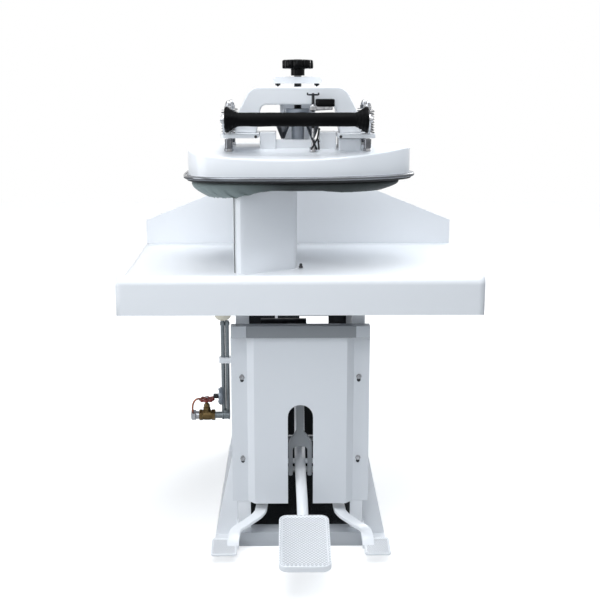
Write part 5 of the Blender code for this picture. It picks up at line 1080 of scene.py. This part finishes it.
# The two small pedals are flat bars bent outwards and down, each on a hub ring on the lowest shaft,
# with a small treaded foot plate at the end. They are enamelled like the frame.
def flat_bar(route, width, thickness, edge=0.0022):
    """A flat bar with rounded edges along a route, level across its width."""
    rings = []
    half_w, half_t = width / 2, thickness / 2
    corner = rounded(oblong(-half_w, half_w, -half_t, half_t), edge, 3)
    for i, spot in enumerate(route):
        ahead = route[min(i + 1, len(route) - 1)] - route[max(i - 1, 0)]
        side = Vector((ahead.y, -ahead.x, 0)).normalized()
        rings.append([spot + side * u + Vector((0, 0, v)) for u, v in corner])
    return loft(rings)


small_tread = tread_finish("small_tread", 0.007)
hub_x = 0.1195
bar_points = ((hub_x, 0.29, 0.12), (hub_x, 0.12, 0.12), (hub_x, 0.01, 0.113), (0.13, -0.022, 0.101),
              (0.165, -0.045, 0.083), (0.195, -0.062, 0.068), (0.203, -0.085, 0.047),
              (0.203, -0.11, 0.0345))
for name, side in (("steam_pedal", -1), ("vacuum_pedal", 1)):
    bar = flat_bar(smooth_route([(side * x, y, z) for x, y, z in bar_points]), 0.036, 0.012)
    bar_hub = hub(0.0108, 0.018, 0.044, 0.0012, (side * hub_x - 0.022, 0.3, 0.12), 32)
    foot = foot_plate(side * 0.229, 0.0385, (-0.15, 0.033), (-0.074, 0.05), 0.009, 0.008, 0.005, 0.0018)
    piece(name + "_bar", joined([bar, bar_hub]), white_enamel, name, name, turn=50)
    piece(name + "_pad", foot, small_tread, name, turn=50)

# The linkage behind the cover is a cast fork rod, its enamel greyed as painted shade behind the cover,
# a black rocker on its own shaft, and a plated push rod from the rocker to the arm's tail. Pins join them.
fork_painted_shade = surface("fork_painted_shade", "white_paint", (0.42, 0.44, 0.465), 0.2, (0.36, 0.38, 0.4), grey_worn,
                      coat_weight=0.3, coat_roughness=0.1, **grey_coat)
dress("fork_rod", fork_painted_shade, 0.002)
dress("rocker", dark_steel)
dress("push_rod", ground_steel, 0.001)

# Steam comes in on the left, through a cream separator pot under the table. Two galvanised pipes
# hang from it in a white clamp on the frame, and end in a tee and a nipple.
dress("pipe_clamp", white_enamel)
cream_enamel = surface("cream_enamel", "cream_paint", (0.78, 0.74, 0.62), 0.37, (0.72, 0.68, 0.56),
                       (0.55, 0.52, 0.45), fine=240.0, broad=9.0, reach=0.002, coat_weight=0.2)
galvanised = surface("galvanised", "pipe_steel", (0.24, 0.265, 0.28), 0.4, (0.16, 0.185, 0.2),
                     (0.5, 0.52, 0.54), fine=90.0, broad=60.0, metallic=0.85)
pot_low, pot_high, (pot_x, pipe_y, _) = extent("steam_separator")
pot_radius, pot_foot = (pot_high.x - pot_low.x) / 2, 0.016
pot = [(pot_radius * 0.02, pot_low.z)]
pot += [(pot_radius * math.sin(a), pot_low.z + pot_foot * (1 - math.cos(a)))
        for a in [math.radians(degrees) for degrees in range(10, 91, 10)]]
pot += [(pot_radius, pot_high.z - 0.016), (pot_radius * 0.94, pot_high.z - 0.006),
        (pot_radius * 0.7, pot_high.z - 0.001), (pot_radius * 0.02, pot_high.z)]
piece("separator_pot", turned(pot, (pot_x, pipe_y, 0), sides=48), cream_enamel, "frame", "steam_separator")
pipe_z, riser_x, drain_x = 0.341, -0.2452, -0.2315
middle_x = (riser_x + drain_x) / 2


def socket_band(x, length, radius, direction=(1, 0, 0)):
    """A fitting's body with a rolled band at both ends."""
    waist, mouth = radius - radius * 0.12, radius * 0.82
    profile = [(mouth, 0), (radius, 0.0006), (radius, 0.0045), (waist, 0.0056), (waist, length - 0.0056),
               (radius, length - 0.0045), (radius, length - 0.0006), (mouth, length)]
    return turned(profile, (x, pipe_y, pipe_z), direction, 28)


pipe_parts = [tube([(x, pipe_y, pipe_z), (x, pipe_y, pot_low.z - 0.0003)], radius, 20)
              for x, radius in ((riser_x, 0.0066), (drain_x, 0.0064))]
pipe_parts += [tube([(-0.2732, pipe_y, pipe_z), (middle_x, pipe_y, pipe_z)], 0.0107, 28),
               socket_band(middle_x - 0.0125, 0.025, 0.015),
               socket_band(middle_x, 0.019, 0.0125, (0, 0, 1))]
pipe_nut = ((0.0078, 0), (0.0084, 0.001), (0.0084, 0.011), (0.0078, 0.012))
pipe_parts += [nut((x, pipe_y, pot_low.z - 0.016), pipe_nut) for x in (riser_x, drain_x)]
piece("pipes", joined(pipe_parts), galvanised, "frame", "steam_pipes")

# The stop valve is an old brass casting with two six-sided ends, screwed on the nipple. A plated
# union closes its inlet, and a bonnet with a gland nut carries the stem.
old_brass = surface("old_brass", "brass_metal", (0.185, 0.125, 0.052), 0.36, (0.075, 0.052, 0.024),
                    (0.58, 0.45, 0.25), fine=260.0, broad=60.0, relief=0.0004, wear=0.8, reach=0.0012,
                    metallic=0.95)
stem_x, inlet_x, outlet_x = -0.3005, -0.325, -0.2845
valve_parts = [turned([(0.0118, 0), (0.015, 0.01), (0.0165, 0.02), (0.0165, 0.031), (0.015, 0.042),
                       (0.0118, 0.0515)], (inlet_x, pipe_y, pipe_z), (1, 0, 0), 32)]
valve_end = ((0.0172, 0), (0.0185, 0.0012), (0.0185, 0.0098), (0.0172, 0.011))
valve_parts += [nut((x, pipe_y, pipe_z), valve_end, 0.5, "X") for x in (inlet_x, outlet_x)]
valve_neck = [(0.014, pipe_z), (0.0125, 0.354), (0.0128, 0.3585)]
valve_parts.append(turned(valve_neck, (stem_x, pipe_y, 0), sides=28))
piece("valve_body", joined(valve_parts), old_brass, "frame", "stop_valve")
union_nut = ((0.0155, 0), (0.017, 0.0015), (0.017, 0.0139), (0.0155, 0.0154))
union = [turned([(0.0118, 0), (0.013, 0.002), (0.013, 0.017)], (-0.3415, pipe_y, pipe_z), (1, 0, 0), 28),
         nut((-0.351, pipe_y, pipe_z), union_nut, 0.5, "X")]
piece("valve_union", joined(union), polished_painted_reflections, "frame")
bonnet = [turned([(0.0105, 0.3588), (0.0115, 0.3595), (0.0115, 0.367), (0.0092, 0.369), (0.0085, 0.376),
                  (0.007, 0.38), (0.004, 0.381), (0.004, 0.3887)], (stem_x, pipe_y, 0), sides=28),
          nut((stem_x, pipe_y, 0), ((0.009, 0.37), (0.01, 0.3708), (0.01, 0.376), (0.009, 0.3768)))]
piece("bonnet", joined(bonnet), old_brass, "frame", "valve_bonnet")

# The stop valve's handwheel is a small red casting with a scalloped rim and five spokes. A bright
# nut holds it on the stem.
red_enamel = surface("red_enamel", "red_paint", (0.22, 0.016, 0.011), 0.38, (0.16, 0.014, 0.011),
                     (0.14, 0.08, 0.06), broad=70.0, relief=0.0002, wear=0.9, reach=0.0015)
wheel_z, rim_radius, scallops, spokes = 0.3935, 0.0203, 8, 5
rim_route, rim_radii = [], []
for t in around(120):
    rim_route.append((*polar(stem_x, pipe_y, rim_radius + 0.0008 * math.cos(scallops * t), t), wheel_z))
    rim_radii.append(0.004 + 0.0009 * math.cos(scallops * t))
wheel_parts = [tube(rim_route, rim_radii, 12, ring=True),
               turned([(0.0055, 0.389), (0.0065, 0.3898), (0.0065, 0.3972), (0.005, 0.398)],
                      (stem_x, pipe_y, 0), sides=24)]
for t in around(spokes, 0.25):
    spoke = [(*polar(stem_x, pipe_y, reach, t), wheel_z) for reach in (0.004, 0.009, 0.0145, 0.0195)]
    wheel_parts.append(tube(spoke, [0.003, 0.0023, 0.0021, 0.0026], 10))
piece("handwheel", joined(wheel_parts), red_enamel, "valve_wheel", "valve_wheel", turn=50)
wheel_nut = ((0.0042, 0.3981), (0.0046, 0.3986), (0.0046, 0.4008), (0.0038, 0.4014))
piece("wheel_nut", nut((stem_x, pipe_y, 0), wheel_nut), bright_steel, "valve_wheel")

# The steam trap is a flat cast drum on its side, with a bolted cover and a dark nut. A thin copper
# pipe bends over from the valve's union to it.
trap_grey = surface("trap_grey", "cast_metal", (0.27, 0.305, 0.35), 0.4, (0.21, 0.24, 0.28),
                    (0.5, 0.51, 0.53), broad=40.0, relief=0.0004, wear=0.6, metallic=0.4)
trap_low, trap_high, (_, _, trap_z) = extent("steam_trap")
trap_radius, trap_face = (trap_high.z - trap_low.z) / 2, trap_high.x + 0.006
drum = [(trap_radius * share, depth) for share, depth in (
    (0.8, 0), (0.95, 0.0016), (1, 0.004), (1, 0.0068), (0.96, 0.0074), (1, 0.008), (1, 0.0112),
    (0.94, 0.014), (0.7, 0.0155))]
trap_parts = [turned(drum + [(0.0115, 0.0156)], (trap_face, pipe_y, trap_z), (-1, 0, 0), 40)]
for y, z in circle(pipe_y, trap_z, trap_radius * 0.8, 6, math.pi / 6):
    trap_parts.append(turned([(0.003, 0), (0.003, 0.0022), (0.0022, 0.0028)], (trap_face - 0.0145, y, z),
                             (-1, 0, 0), 6))
piece("trap_body", joined(trap_parts), trap_grey, "frame", "steam_trap")
trap_nut = ((0.008, 0), (0.008, 0.016), (0.0068, 0.0175))
piece("trap_nut", nut((trap_face - 0.0155, pipe_y, trap_z), trap_nut, 0.0, "-X"), dark_steel, "frame")
copper = surface("copper", "brass_metal", (0.42, 0.145, 0.08), 0.37, (0.28, 0.085, 0.045),
                 (0.75, 0.38, 0.25), broad=45.0, relief=0.00005, wear=0.4, reach=0.0008, metallic=1.0)
pigtail = [(x, pipe_y + y, pipe_z + z) for x, y, z in (
    (-0.346, -0.004, 0.014), (-0.3462, -0.006, 0.026), (-0.344, -0.008, 0.04), (-0.338, -0.008, 0.051),
    (-0.329, -0.006, 0.056), (-0.315, 0.004, 0.0535), (-0.295, 0.02, 0.05), (-0.279, 0.016, 0.0565))]
pigtail.append((trap_low.x + 0.001, pipe_y + 0.002, trap_z))
piece("copper_pipe", tube(smooth_route(pigtail), 0.0029, 12), copper, "frame", turn=60)
